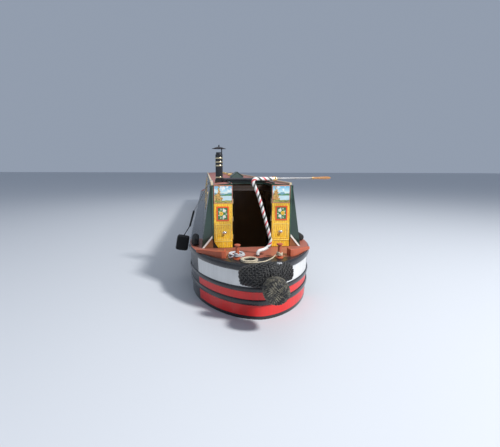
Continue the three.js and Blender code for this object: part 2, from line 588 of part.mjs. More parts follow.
// Headlamp on the front end of the roof
const LAMP_Z = roofZ(0) + 112;
add("headlamp", seated(union(
  turned([[0, 0], [30, 4], [60, 40], [86, 120], [90, 150], [84, 152], [0, 144]], "y", 24)
    .translate(0, Y(CABIN_FRONT - 170), LAMP_Z),
  rod("z", 14, roofZ(0) - 20, LAMP_Z - 40).translate(0, Y(CABIN_FRONT - 90), 0),
  rod("z", 45, roofZ(0) - 20, roofZ(0) + 8).translate(0, Y(CABIN_FRONT - 90), 0))), MAT.brass);

// Rudder, swan neck and tiller, built amidships and turned to the rest angle about the stock
const over = (g) => g.translate(0, -Y(STOCK_Y), 0).rotateZ(THREE.MathUtils.degToRad(TILLER_REST))
  .translate(0, Y(STOCK_Y), 0);
const ys = Y(STOCK_Y);
const blade = prism([[ys - 520, 70], [ys + 120, 70], [ys + 120, 470], [ys + 60, 555], [ys - 500, 555],
  [ys - 520, 500]], "x",
  -7, 7);
const NECK_Z = 1452;
const stock = rod("z", 25, 20, NECK_Z - GAP).translate(0, ys, 0);
add("rudder", over(union(blade, stock)), MAT.black);
const BAR_Z = 2573;
const TILLER = { neck: 258, bar: 966, end: 1330 };  // distances out from the stock
const neckPath = [[0, 0, NECK_Z], [0, 0, 1467], [0, 8, 1490], [0, 26, 1506], [0, 52, 1512], [0, 100, 1518],
  [0, 155, 1538],
  [0, 204, 1582], [0, 218, 1640], [0, 190, 1760], [0, 20, 2290], [0, -68, 2485], [0, -84, 2526],
    [0, -72, 2558],
  [0, -36, BAR_Z], [0, 60, BAR_Z], [0, TILLER.neck, BAR_Z]]
  .map(([x, y, z]) => [x, y + ys, z]);
add("swan_neck", over(pipe(neckPath, 25, 64)), MAT.striped);
add("tiller_bar", over(rod("y", 15, TILLER.neck + GAP, TILLER.bar).translate(0, ys, BAR_Z)), MAT.steel);
add("tiller_handle", over(turned([[0, 0], [17, 0], [22, 26], [16, 66], [20, 150], [24, 255], [21, 325],
  [13, 358], [0, 364]], "y",
  20).translate(0, ys + TILLER.bar + GAP, BAR_Z)), MAT.wood);

// Propeller, stern tube and engine
function propeller() {
  let body = solid(turned([[0, -70], [22, -66], [40, -40], [46, 0], [42, 40], [24, 50], [24, 700],
    [0, 700]], "y", 24));
  for (let k = 0; k < 3; k++) {
    const steps = 7;
    const blade3 = sweep(steps, (i) => {
      const r = lerp(30, 215, i / (steps - 1));
      const chord = 55 + 95 * Math.sin(Math.PI * Math.pow(i / (steps - 1), 0.8)) * 0.9;
      const pitch = Math.atan2(46, r * 0.62);
      const c = Math.cos(pitch), s = Math.sin(pitch), t = lerp(9, 4, i / (steps - 1));
      return [[-chord / 2, -1], [0, -t], [chord / 2, -1], [chord / 2, 1], [0, t], [-chord / 2, 1]]
        .map(([u, v]) => [u * c - v * s, u * s + v * c, r]);
    });
    body = body.add(solid(blade3.rotateY((k * 2 * Math.PI) / 3)));
  }
  return geometryOf(body).translate(0, Y(PROP_Y), SHAFT_Z);
}
add("propeller", propeller(), MAT.bronze);
add("stern_tube", tube("y", 45, 33, 0, 430).translate(0, Y(POST_Y - 90), SHAFT_Z), MAT.steel);
const ENGINE = { y0: 3000, y1: 3740, half: 230, top: 560, feet: 150 };
const foot = (x) => box(x - 30, x + 30, Y(ENGINE.y0 + 60), Y(ENGINE.y1 - 60), BASE_T + GAP,
  ENGINE.feet + 20);
add("engine", union(box(-ENGINE.half, ENGINE.half, Y(ENGINE.y0), Y(ENGINE.y1), ENGINE.feet, ENGINE.top),
  foot(-170), foot(170)),
  MAT.engine);

// Floors, the step in the doorway and the partition ahead of the engine
add("cabin_floor", box(-770, 770, Y(3960), Y(CABIN_FRONT - WALL - 5), BASE_T + GAP, 190), MAT.wood);
add("rear_floor", union(box(-770, 770, Y(BULK_Y + WALL + 20), Y(3890), 605, 640),
  box(-300, 300, Y(BULK_Y + WALL + 60), Y(BULK_Y + WALL + 330), 630, 1180)), MAT.wood);
const liningX = (z) => lerp(CABIN_W0 - WALL, sideX(sideTop) - WALL, (z - DECK_Z) / (sideTop - DECK_Z));
const PART_TOP = EAVES_Z - 62;
add("partition", prism([[-770, 205], [770, 205], [770, DECK_Z + 20], [liningX(PART_TOP) - 6, PART_TOP],
  [6 - liningX(PART_TOP), PART_TOP], [-770, DECK_Z + 20]], "y", Y(3905), Y(3945)), MAT.wood);

// Rope fenders: the fat one that wraps the counter, the round button behind it, and the one at the stem
const TIPCAT = { x: 37, z: 1328, r: 170, flat: 0.7, half: 323, off: 34, dip: 45 };
const tipcatPath = Array.from({ length: 15 }, (_, i) => {
  const x = lerp(-TIPCAT.half, TIPCAT.half, i / 14) + TIPCAT.x;
  const half = halfPlan(TIPCAT.z, 0, false);
  const k = half.findIndex(([w]) => w >= Math.abs(x));
  const ahead = lerp(half[k - 1][1], half[k][1],
    (Math.abs(x) - half[k - 1][0]) / (half[k][0] - half[k - 1][0]));
  return [x, Y(ahead) - TIPCAT.off - TIPCAT.r * TIPCAT.flat,
    TIPCAT.z - TIPCAT.dip * Math.max(0, 1 - i / 7)];
});
add("stern_fender", sausage(tipcatPath,
  (t) => TIPCAT.r * Math.pow(Math.sin(Math.PI * lerp(0.14, 0.86, t)), 0.5), 20,
  TIPCAT.flat), MAT.rope);
const BUTTON = { x: 108, z: 1200, r: 171, len: 257 };
add("button_fender", turned([[0, 0], [120, 0], [160, 26], [BUTTON.r, 90], [170, 180], [158, 226],
  [108, BUTTON.len - 8], [0, BUTTON.len]], "y", 28)
  .rotateZ(Math.PI).translate(BUTTON.x, Y(-2 * TIPCAT.r * TIPCAT.flat - TIPCAT.off - 4), BUTTON.z),
    MAT.rope);
add("bow_fender", turned([[0, 0], [70, 0], [130, 60], [140, 160], [120, 260], [60, 320], [0, 330]], "y", 20)
  .translate(0, Y(LENGTH - 8), 1420), MAT.rope);

// Side fenders: a block that hangs on the port side, and one stowed on each gunwale
const BLOCK = { x: -1222, z: 1272, half: 116, high: 133, y0: 2080, y1: 2275, lean: 10 };
add("side_fender", box(-BLOCK.half, BLOCK.half, Y(BLOCK.y0), Y(BLOCK.y1), -BLOCK.high, BLOCK.high)
  .rotateY(THREE.MathUtils.degToRad(BLOCK.lean)).translate(BLOCK.x, 0, BLOCK.z), MAT.rope);
for (const [side, word, ahead] of [[-1, "port", 1215], [1, "starboard", 1400]]) {
  add(`stowed_fender_${word}`, turned([[0, 0], [40, 0], [62, 22], [62, 478], [40, 500], [0, 500]], "y", 18)
    .translate(side * 948, Y(ahead), DECK_Z + 63), MAT.rope);
}

// Mooring lines: each leaves a dolly's stem, comes down to the deck and lies there in a coil
const LINE_R = 9;
const COIL = { mid: 108, turns: 3, high: 4 * LINE_R };
const LINES = [
  { word: "port", x: -300, y: 537, lead: [[-343, 325, 52], [-362, 324, 49], [-385, 328, 36],
    [-406, 342, 20], [-420, 366, 10.5],
    [-427, 400, 9.5], [-429, 435, 9.5], [-428, 468, 9.5]] },
  { word: "starboard", x: -150, y: 205, lead: [[281, 325, 52], [262, 324, 49], [238, 314, 36],
    [214, 296, 20], [190, 272, 10.5],
    [160, 236, 9.5], [128, 195, 9.5], [90, 154, 9.5], [45, 120, 9.5], [0, 99, 9.5], [-40, 88, 9.5],
      [-68, 83, 9.5]] },
];
for (const { word, x, y: ahead, lead } of LINES) {
  const a = COIL.mid - COIL.turns * LINE_R, b = COIL.mid + COIL.turns * LINE_R;
  const e = LINE_R / 2;
  add(`line_coil_${word}`, turned([[a, e], [a + e, 0], [b - e, 0], [b, e], [b, COIL.high - e],
    [b - e, COIL.high],
    [a + e, COIL.high], [a, COIL.high - e], [a, e]], "z", 28).translate(x, Y(ahead), DECK_Z + GAP),
      MAT.line);
  add(`line_lead_${word}`, pipe(lead.map(([px, py, pz]) => [px, Y(py), DECK_Z + pz]), LINE_R,
    lead.length * 4, 8), MAT.line);
}

export default group;
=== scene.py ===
# %% [markdown]
# # A narrowboat seen from astern
# The boat comes from its CAD model as a fixed frame of named nodes. This script gives those nodes their
# paint, and adds what the solids leave out: rope work, painted doors, mouldings, window rims and
# fastenings. All places are in metres: X to starboard, Y towards the bow, Z up from the flat bottom.

# %% Load the frame
import json
import math

import bmesh
import bpy
from mathutils import Matrix, Vector

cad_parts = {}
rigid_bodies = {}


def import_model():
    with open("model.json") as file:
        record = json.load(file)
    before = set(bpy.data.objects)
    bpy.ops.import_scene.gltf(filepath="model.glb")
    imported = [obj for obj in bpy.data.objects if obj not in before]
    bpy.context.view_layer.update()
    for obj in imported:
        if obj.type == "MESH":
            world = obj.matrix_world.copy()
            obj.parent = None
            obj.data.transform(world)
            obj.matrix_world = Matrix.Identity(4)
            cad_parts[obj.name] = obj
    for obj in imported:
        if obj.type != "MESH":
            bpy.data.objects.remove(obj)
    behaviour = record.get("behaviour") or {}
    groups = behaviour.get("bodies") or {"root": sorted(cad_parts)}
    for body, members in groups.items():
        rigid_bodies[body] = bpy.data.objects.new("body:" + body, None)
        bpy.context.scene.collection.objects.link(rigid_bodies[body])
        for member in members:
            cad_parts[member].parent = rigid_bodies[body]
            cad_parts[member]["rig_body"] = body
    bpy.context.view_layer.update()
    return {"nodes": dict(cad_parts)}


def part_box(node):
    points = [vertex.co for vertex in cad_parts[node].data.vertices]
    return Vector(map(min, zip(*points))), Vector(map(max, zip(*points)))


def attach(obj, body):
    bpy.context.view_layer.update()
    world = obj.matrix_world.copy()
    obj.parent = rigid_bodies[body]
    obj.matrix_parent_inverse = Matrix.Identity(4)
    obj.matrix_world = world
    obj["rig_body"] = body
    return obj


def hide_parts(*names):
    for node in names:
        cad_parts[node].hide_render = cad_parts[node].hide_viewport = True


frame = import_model()
nodes = frame["nodes"]

# %% [markdown]
# The boat's main places. Distances along the boat are measured ahead of the counter's after tip, as boat
# builders do, so `ahead()` turns them into Y. The two sides are named as on a boat, with the hand on which
# each lies when seen from astern.

# %% Main places
WATER = 0.600
DECK = 1.420
STERN = -8.700
SIDES = (("port", -1, "left"), ("starboard", 1, "right"))


def ahead(distance):
    """Y of a place that lies this far ahead of the counter's tip."""
    return STERN + distance


print("water at", WATER, "deck at", DECK, "counter's tip at", STERN)

# %% [markdown]
# The picture is taken from a bank or a bridge, a little to port of the boat's middle line and about two
# metres above the water, with a moderately wide lens. The camera is turned a few degrees to starboard,
# looks down a little, and leans a quarter of a degree.

# %% Camera
EYE = Vector((-0.7435, -12.9992, 2.7210))
YAW, PITCH, ROLL = math.radians(7.3147), math.radians(9.5044), math.radians(0.238)
FOCAL_PIXELS, PICTURE_WIDTH, SENSOR = 330.0, 500.0, 36.0
SHIFT_X, CLIP_END = 0.0028, 500


def axes_at(x, y, z, at):
    """A place with three axes of its own."""
    return Matrix(((x.x, y.x, z.x, at.x), (x.y, y.y, z.y, at.y), (x.z, y.z, z.z, at.z), (0, 0, 0, 1)))


look = Vector((math.sin(YAW) * math.cos(PITCH), math.cos(YAW) * math.cos(PITCH), -math.sin(PITCH)))
level = Vector((math.cos(YAW), -math.sin(YAW), 0))
upright = level.cross(look)
right = level * math.cos(ROLL) + upright * math.sin(ROLL)
up = upright * math.cos(ROLL) - level * math.sin(ROLL)

lens_data = bpy.data.cameras.new("camera")
lens_data.sensor_width = SENSOR
lens_data.lens = FOCAL_PIXELS / PICTURE_WIDTH * SENSOR
lens_data.shift_x = SHIFT_X
lens_data.clip_end = CLIP_END
camera = bpy.data.objects.new("camera", lens_data)
camera.matrix_world = axes_at(right, up, -look, EYE)
bpy.context.scene.collection.objects.link(camera)
bpy.context.scene.camera = camera
print("lens", round(lens_data.lens, 2), "mm")

# %% [markdown]
# Every new piece ends the same way: its bmesh becomes an object at the origin, gets its material, and rides
# on the body that carries it. One helper keeps that in one place. It also joins doubled points and turns
# the faces outwards, because spins and mirrors can leave a shape inside out, and drops the stored normals
# that a copy of a CAD node brings with it, because they no longer fit once its points are joined.

# %% Helpers for pieces
MITRE = math.radians(35)
JOIN = 1e-5


def piece(name, mesh, materials, body, replaced=(), soften=MITRE):
    """Makes an object of a bmesh, with its body and the CAD nodes that it stands for."""
    bmesh.ops.remove_doubles(mesh, verts=mesh.verts, dist=JOIN)
    bmesh.ops.recalc_face_normals(mesh, faces=mesh.faces)
    data = bpy.data.meshes.new(name)
    mesh.to_mesh(data)
    mesh.free()
    if "custom_normal" in data.attributes:
        data.attributes.remove(data.attributes["custom_normal"])
    for material in materials if isinstance(materials, (list, tuple)) else [materials]:
        data.materials.append(material)
    data.shade_smooth()
    data.set_sharp_from_angle(angle=soften)
    made = bpy.data.objects.new(name, data)
    bpy.context.scene.collection.objects.link(made)
    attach(made, body)
    if replaced:
        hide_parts(*replaced)
    return made


def coloured(verts, index):
    """Gives the faces round some corners their place in the piece's list of materials."""
    for face in {f for v in verts for f in v.link_faces}:
        face.material_index = index


def softened(mesh, edges, width):
    """Rounds edges over in two steps."""
    bmesh.ops.bevel(mesh, geom=edges, offset=width, segments=2, profile=0.5, affect="EDGES", material=-1)


def slab(mesh, low, high, bevel=0.0):
    """Adds a box between two corners to a bmesh, with its edges rounded over."""
    low, high = Vector(low), Vector(high)
    place = Matrix.Translation((low + high) / 2) @ Matrix.Diagonal((*(high - low), 1))
    corners = bmesh.ops.create_cube(mesh, size=1, matrix=place)["verts"]
    if bevel:
        softened(mesh, list({e for v in corners for e in v.link_edges}), bevel)


def turned(mesh, profile, place, steps=32, index=0):
    """Spins a profile of (radius, height) points about Z and puts the turned shape in its place."""
    before = set(mesh.verts)
    points = [mesh.verts.new((r, 0, h)) for r, h in profile]
    edges = [mesh.edges.new(pair) for pair in zip(points, points[1:])]
    bmesh.ops.spin(mesh, geom=points + edges, cent=(0, 0, 0), axis=(0, 0, 1), angle=math.tau, steps=steps,
                   use_merge=True)
    verts = [v for v in mesh.verts if v not in before]
    coloured(verts, index)
    bmesh.ops.transform(mesh, matrix=place, verts=verts)


def aimed(at, towards):
    """A place whose Z axis points in a direction."""
    turn = Vector(towards).normalized().to_track_quat("Z", "Y").to_matrix().to_4x4()
    return Matrix.Translation(Vector(at)) @ turn


def smooth_path(points, spacing):
    """A Catmull-Rom curve through given points, as points about one spacing apart."""
    points = [Vector(p) for p in points]
    padded = [2 * points[0] - points[1], *points, 2 * points[-1] - points[-2]]
    path = []
    for a, b, c, d in zip(padded, padded[1:], padded[2:], padded[3:]):
        steps = max(2, round((c - b).length / spacing))
        for i in range(steps):
            t = i / steps
            path.append(0.5 * (2 * b + (c - a) * t + (2 * a - 5 * b + 4 * c - d) * t * t
                               + (3 * b - a - 3 * c + d) * t ** 3))
    return path + [points[-1]]


def path_length(path):
    """Length of a line of points."""
    return sum((b - a).length for a, b in zip(path, path[1:]))


def swept(mesh, path, radius, sides=10):
    """Extrudes a ring along a path, closes both ends, and lays UVs along (metres) and around it."""
    layer = mesh.loops.layers.uv.verify()
    total = path_length(path)
    where, done = {}, 0.0
    for i, point in enumerate(path):
        aim = (path[min(i + 1, len(path) - 1)] - path[max(i - 1, 0)]).normalized()
        size = radius(done / total) if callable(radius) else radius
        if i == 0:
            turn = aim.to_track_quat("Z", "Y")
            start = bmesh.ops.create_circle(mesh, segments=sides, radius=1)["verts"]
            local = {v: v.co.copy() for v in start}
            ring = list(start)
            edges = list({e for v in ring for e in v.link_edges})
            mesh.faces.new(ring)
        else:
            turn = last_aim.rotation_difference(aim) @ turn
            done += (point - path[i - 1]).length
            shape = [local[v] for v in ring]
            grown = bmesh.ops.extrude_edge_only(mesh, edges=edges)["geom"]
            fresh = {v for v in grown if isinstance(v, bmesh.types.BMVert)}
            ring = [next(e.other_vert(v) for e in v.link_edges if e.other_vert(v) in fresh) for v in ring]
            edges = [e for e in grown if isinstance(e, bmesh.types.BMEdge) and set(e.verts) <= fresh]
            local = dict(zip(ring, shape))
        last_aim = aim
        for k, vert in enumerate(ring):
            where[vert] = (done, k)
            vert.co = point + turn @ (local[vert] * size)
    mesh.faces.new(ring[::-1])
    for face in {f for v in where for f in v.link_faces}:
        wraps = {where[v][1] for v in face.verts if v in where} >= {0, sides - 1}
        for loop in face.loops:
            along, k = where[loop.vert]
            loop[layer].uv = (along, (k + sides if wraps and k == 0 else k) / sides)


print("helpers ready")

# %% [markdown]
# Materials are built from nodes. A small helper adds one node, sets its properties, and feeds its inputs
# with values or with the outputs of earlier nodes, so that each material reads from top to bottom like a
# recipe.

# %% Helpers for materials
def node(tree, kind, inputs=(), **settings):
    """Adds one shader node with its settings, and feeds its inputs."""
    made = tree.nodes.new("ShaderNode" + kind)
    for key, value in settings.items():
        setattr(made, key, value)
    for key, value in dict(inputs).items():
        if isinstance(value, bpy.types.NodeSocket):
            tree.links.new(value, made.inputs[key])
        else:
            made.inputs[key].default_value = value
    return made


def maths(tree, operation, *values, clamp=False):
    """A Math node's output."""
    return node(tree, "Math", dict(enumerate(values)), operation=operation, use_clamp=clamp).outputs[0]


def mixed(tree, factor, first, second):
    """A colour between two colours."""
    mix = node(tree, "Mix", {0: factor, 6: first, 7: second}, data_type="RGBA")
    return mix.outputs[2]


def ramp(tree, factor, stops, interpolation="LINEAR"):
    """A Color Ramp's colour output, from (place, colour) stops."""
    made = node(tree, "ValToRGB", {0: factor})
    made.color_ramp.interpolation = interpolation
    while len(made.color_ramp.elements) < len(stops):
        made.color_ramp.elements.new(1.0)
    for element, (place, colour) in zip(made.color_ramp.elements, stops):
        element.position = place
        element.color = colour
    return made.outputs[0]


def group(name, inputs, outputs):
    """A new node group with named sockets: returns its tree, its input node and its output node."""
    tree = bpy.data.node_groups.new(name, "ShaderNodeTree")
    for word, kind, value in inputs:
        socket = tree.interface.new_socket(word, in_out="INPUT", socket_type="NodeSocket" + kind)
        if value is not None:
            socket.default_value = value
    for word, kind in outputs:
        tree.interface.new_socket(word, in_out="OUTPUT", socket_type="NodeSocket" + kind)
    return tree, tree.nodes.new("NodeGroupInput").outputs, tree.nodes.new("NodeGroupOutput").inputs


def use(tree, shared, **inputs):
    """Places a node group in a material: its outputs by name."""
    made = tree.nodes.new("ShaderNodeGroup")
    made.node_tree = shared
    for word, value in inputs.items():
        word = word.replace("_", " ")
        if isinstance(value, bpy.types.NodeSocket):
            tree.links.new(value, made.inputs[word])
        else:
            made.inputs[word].default_value = value
    return made.outputs


def material(name, **plain):
    """A new material: returns it, its tree and its Principled shader with the plain values set."""
    made = bpy.data.materials.new(name)
    made.use_nodes = True
    shader = made.node_tree.nodes["Principled BSDF"]
    for word, value in plain.items():
        shader.inputs[word.replace("_", " ")].default_value = value
    return made, made.node_tree, shader


def feed(tree, shader, **inputs):
    """Links outputs to the shader's inputs; Height goes through a Bump node."""
    for word, output in inputs.items():
        if word == "Height":
            height, distance = output
            bump = node(tree, "Bump", {"Height": height, "Distance": distance, "Strength": 1.0})
            tree.links.new(bump.outputs[0], shader.inputs["Normal"])
        else:
            tree.links.new(output, shader.inputs[word.replace("_", " ")])


def surface(tree, shader, look_of, relief):
    """Feeds a group's colour, roughness and height to the shader. The relief is the height in metres."""
    feed(tree, shader, Base_Color=look_of["Color"], Roughness=look_of["Roughness"],
         Height=(look_of["Height"], relief))


def give(tree, outputs, **values):
    """Links the results of a group to its outputs."""
    for word, value in values.items():
        tree.links.new(value, outputs[word])


def coordinates(tree, kind="Object"):
    """The place on the object in metres, or its UV or Normal."""
    return node(tree, "TexCoord").outputs[kind]


def apart(tree, vector):
    """The X, Y and Z of a vector."""
    return node(tree, "SeparateXYZ", {0: vector}).outputs


def stretched(tree, vector, scale):
    """Coordinates with a scale for each axis: a pattern is drawn out along the axis with the smallest."""
    return node(tree, "Mapping", {"Vector": vector, "Scale": scale}).outputs[0]


def noise(tree, vector, scale, detail, roughness=0.5):
    """A soft noise of 0 to 1."""
    return node(tree, "TexNoise", {"Vector": vector, "Scale": scale, "Detail": detail,
                                   "Roughness": roughness}).outputs[0]


def ranged(tree, value, low, high, new_low=0.0, new_high=1.0):
    """Stretches the part of a value between low and high over a new range."""
    return node(tree, "MapRange", {0: value, 1: low, 2: high, 3: new_low, 4: new_high}).outputs[0]


def rgb(red, green, blue):
    """A colour with full alpha."""
    return (red, green, blue, 1.0)


print("material helpers ready")

# %% [markdown]
# Old boat paint is never one flat colour. It chalks in cloudy patches, dirt runs down it in faint streaks,
# and its gloss changes with both. One shared group does this for all the painted steel: it takes a colour,
# how streaked and how dirty it is, and gives back colour, roughness and a slight unevenness of the plating.

# %% Shared effect: weathered paint
SURFACE = [("Color", "Color"), ("Roughness", "Float"), ("Height", "Float")]
DUST = rgb(0.12, 0.10, 0.08)
weathered, paint_in, paint_out = group(
    "weathered paint",
    [("Color", "Color", rgb(0.1, 0.1, 0.1)), ("Dirt", "Color", DUST), ("Amount", "Float", 0.3),
     ("Gloss", "Float", 0.25)], SURFACE)
here = coordinates(weathered)
clouds = noise(weathered, here, 2.6, 6, 0.62)
streaks = noise(weathered, stretched(weathered, here, (24, 24, 1.6)), 1.0, 4)
specks = noise(weathered, here, 70, 3)
patchy = maths(weathered, "MULTIPLY_ADD", streaks, 0.5, maths(weathered, "MULTIPLY", clouds, 0.6))
dirty = maths(weathered, "MULTIPLY", ranged(weathered, patchy, 0.42, 0.72), paint_in["Amount"], clamp=True)
shade = ranged(weathered, clouds, 0.3, 0.7, 0.86, 1.1)
toned = node(weathered, "HueSaturation", {"Color": paint_in["Color"], "Value": shade}).outputs[0]
rough = maths(weathered, "MULTIPLY_ADD", dirty, 0.45, paint_in["Gloss"])
give(weathered, paint_out, Color=mixed(weathered, dirty, toned, paint_in["Dirt"]),
     Roughness=maths(weathered, "MULTIPLY_ADD", specks, 0.08, rough, clamp=True),
     Height=maths(weathered, "MULTIPLY_ADD", specks, 0.05, clouds))


def painted(name, colour, dirt, amount=0.3, gloss=0.22, ripple=0.003, coat=0.0):
    """Steel in one weathered colour."""
    made, tree, shader = material(name, Coat_Weight=coat, Coat_Roughness=0.08)
    surface(tree, shader, use(tree, weathered, Color=colour, Dirt=dirt, Amount=amount, Gloss=gloss), ripple)
    return made


black_paint = painted("gloss black paint", rgb(0.012, 0.013, 0.016), rgb(0.10, 0.09, 0.08), 0.16, 0.16,
                      0.002, 0.3)
print("weathered paint ready")

# %% [markdown]
# Stripes and zones on the boat are cut by place. The next shared group gives a mask that is one between two
# values of any measure, such as a height, with a crisp painted edge.

# %% Shared effect: a stripe between two values
stripe, stripe_in, stripe_out = group(
    "stripe", [("Value", "Float", 0.0), ("From", "Float", 0.0), ("To", "Float", 1.0)], [("Mask", "Float")])
above = maths(stripe, "GREATER_THAN", stripe_in["Value"], stripe_in["From"])
below = maths(stripe, "LESS_THAN", stripe_in["Value"], stripe_in["To"])
stripe.links.new(maths(stripe, "MULTIPLY", above, below), stripe_out["Mask"])


print("stripe group ready")

# %% [markdown]
# Rope is strands laid in a spiral. The tube that carries it is smooth, so the strands come from the
# material: the tube's UVs run along it in metres and once around it, and three slanting ridges a pitch
# follow them. The hollows between the strands are painted darker, as painted shade. The same group serves
# the mooring lines, the hanging fender's pale rope and the white lashing.

# %% Shared effect: laid rope
laid, laid_in, laid_out = group(
    "laid rope",
    [("Color", "Color", rgb(0.8, 0.74, 0.6)), ("Dirt", "Color", rgb(0.3, 0.26, 0.2)),
     ("Pitch", "Float", 0.03), ("Strands", "Float", 3.0), ("Amount", "Float", 0.5)], SURFACE)
along, around, _ = apart(laid, coordinates(laid, "UV"))
twist = maths(laid, "ADD", maths(laid, "DIVIDE", along, laid_in["Pitch"]), around)
wave = maths(laid, "MULTIPLY", maths(laid, "MULTIPLY", twist, laid_in["Strands"]), math.pi)
ridge = maths(laid, "ABSOLUTE", maths(laid, "SINE", wave))
here = coordinates(laid)
fuzz = noise(laid, here, 260, 3)
soil = ranged(laid, noise(laid, here, 9, 4), 0.35, 0.7)
soiled = mixed(laid, maths(laid, "MULTIPLY", soil, laid_in["Amount"]), laid_in["Color"], laid_in["Dirt"])
# Painted shade: the colour is darker in the hollows between the strands.
groove_shade = ranged(laid, ridge, 0.0, 0.55, 0.35, 1.0)
give(laid, laid_out, Color=node(laid, "HueSaturation", {"Color": soiled, "Value": groove_shade}).outputs[0],
     Roughness=maths(laid, "MULTIPLY_ADD", fuzz, 0.2, 0.75),
     Height=maths(laid, "MULTIPLY_ADD", fuzz, 0.12, ridge))
ROPE_PITCH, ROPE_RELIEF = 0.036, 0.003


def roped(name, colour, dirt):
    """Rope of one colour, for pieces whose UVs run along and around each strand."""
    made, tree, shader = material(name, Sheen_Weight=0.15)
    surface(tree, shader, use(tree, laid, Color=colour, Dirt=dirt, Pitch=ROPE_PITCH), ROPE_RELIEF)
    return made


cream_rope = roped("cream mooring rope", rgb(0.74, 0.64, 0.46), rgb(0.30, 0.24, 0.16))
white_rope = roped("white mooring rope", rgb(0.70, 0.71, 0.72), rgb(0.26, 0.26, 0.27))
print("rope materials ready")

# %% [markdown]
# Two mooring lines lie on the after deck. Each is hitched to a mooring post's stem, drops to the plate and
# runs into a flat coil of two layers. The leads are given, as in the CAD model, in millimetres
# from the middle line, the counter's tip and the deck. A loop works out the turns: two inwards on the deck,
# a quarter turn up, and two back outwards on top of them. A whipping closes the free end.

# %% Mooring lines
LINE, LINE_SIDES, ROPE_STEP = 0.018, 12, 0.012
COIL_OUTER, TURN_POINTS, COIL_CLEAR = 0.126, 20, 0.0005
INWARD, STEP_UP, ON_TOP = 2.0, 2.25, 2.5
LAST_TURN = 4.45
POST_X, POST_AHEAD, STEM = 0.312, 0.325, 0.029
HITCH_LOW, HITCH_RISE, HITCH_POINTS = 0.036, 0.019, 56
WHIPPING = ((0, -0.03), (0.0098, -0.03), (0.0098, 0.001), (0.006, 0.004), (0, 0.004))
LINES = (
    ("port", -1, (-0.300, 0.537), 180, white_rope,
     ((-343, 325, 52), (-362, 324, 49), (-385, 328, 36), (-406, 342, 20), (-420, 366, 10.5), (-427, 400, 9.5),
      (-429, 435, 9.5), (-428, 468, 9.5))),
    ("starboard", 1, (-0.150, 0.205), -90, cream_rope,
     ((281, 325, 52), (262, 324, 49), (238, 314, 36), (214, 296, 20), (190, 272, 10.5), (160, 236, 9.5),
      (128, 195, 9.5), (90, 154, 9.5), (45, 120, 9.5), (0, 99, 9.5), (-40, 88, 9.5), (-68, 83, 9.5))),
)


def coil_turns(centre, start):
    """Points of a coil wound clockwise inwards on the deck, and back outwards on top of itself."""
    for i in range(round(LAST_TURN * TURN_POINTS)):
        turn = i / TURN_POINTS
        spiral = min(turn, INWARD) - max(turn - ON_TOP, 0)
        rise = min(max((turn - INWARD) / (STEP_UP - INWARD), 0), 1)
        radius = COIL_OUTER - LINE * spiral
        angle = math.radians(start) - math.tau * turn
        yield Vector((centre[0] + radius * math.cos(angle), ahead(centre[1]) + radius * math.sin(angle),
                      DECK + LINE / 2 + LINE * rise + COIL_CLEAR))


def hitch_turns(way):
    """Points of the turns that a line takes round the stem of its mooring post."""
    radius = STEM + LINE / 2
    for a in (i * math.tau / TURN_POINTS for i in range(HITCH_POINTS)):
        yield Vector((way * POST_X + radius * math.cos(a), ahead(POST_AHEAD) + radius * math.sin(a),
                      DECK + HITCH_LOW + HITCH_RISE * a / math.tau))


for word, way, centre, start, finish_of, lead in LINES:
    leading = [Vector((x / 1000, ahead(y / 1000), DECK + z / 1000)) for x, y, z in lead]
    route_points = smooth_path([*leading, *coil_turns(centre, start)], ROPE_STEP)
    rope_mesh = bmesh.new()
    swept(rope_mesh, route_points, LINE / 2, LINE_SIDES)
    line = piece(f"mooring_line_{word}", rope_mesh, finish_of, "hull",
                 (f"line_coil_{word}", f"line_lead_{word}"))
    end_mesh = bmesh.new()
    turned(end_mesh, WHIPPING, aimed(route_points[-1], route_points[-1] - route_points[-2]), LINE_SIDES)
    whipping = piece(f"line_whipping_{word}", end_mesh, white_rope, "hull")
    hitch_mesh = bmesh.new()
    swept(hitch_mesh, list(hitch_turns(way)), LINE / 2, LINE_SIDES)
    piece(f"line_hitch_{word}", hitch_mesh, finish_of, "hull")

# %% [markdown]
# The floor is plain and pale, and lies at the waterline, because the boat is shown as it floats. The light
# is a studio's: a strong panel high astern and to starboard, which leaves the port half of the counter in
# shade, a weak one to port, a broad one overhead for the far end of the boat, and an even pale blue
# surround.

# %% Floor and light
FLOOR_REACH = 150
floor_paint, _, floor_shader = material("floor", Roughness=0.6)
floor_shader.inputs["Base Color"].default_value = rgb(0.58, 0.60, 0.63)
floor_mesh = bmesh.new()
bmesh.ops.create_grid(floor_mesh, size=FLOOR_REACH, matrix=Matrix.Translation((0, 0, WATER)))
floor_data = bpy.data.meshes.new("floor")
floor_mesh.to_mesh(floor_data)
floor_mesh.free()
floor_data.materials.append(floor_paint)
floor = bpy.data.objects.new("floor", floor_data)
bpy.context.scene.collection.objects.link(floor)

LAMPS = (
    ("key", (9.6, -17.0, 15.5), (0.0, -7.5, 1.5), 2.2, 4600),
    ("fill", (-10.0, -14.0, 6.0), (0.0, -7.0, 1.2), 8.0, 40),
    ("top", (0.0, 2.0, 12.0), (0.0, 0.0, 2.0), 12.0, 450),
)
for name, place, aim_at, size, power in LAMPS:
    lamp_data = bpy.data.lights.new(name, "AREA")
    lamp_data.size, lamp_data.energy = size, power
    lamp = bpy.data.objects.new(name, lamp_data)
    lamp.matrix_world = aimed(place, Vector(place) - Vector(aim_at))
    bpy.context.scene.collection.objects.link(lamp)

world = bpy.data.worlds.new("studio")
world.use_nodes = True
surround = world.node_tree.nodes["Background"].inputs
surround["Color"].default_value = rgb(0.66, 0.77, 0.96)
surround["Strength"].default_value = 0.44
bpy.context.scene.world = world
bpy.context.scene.view_settings.view_transform = "Standard"
print("lamps:", [row[0] for row in LAMPS])

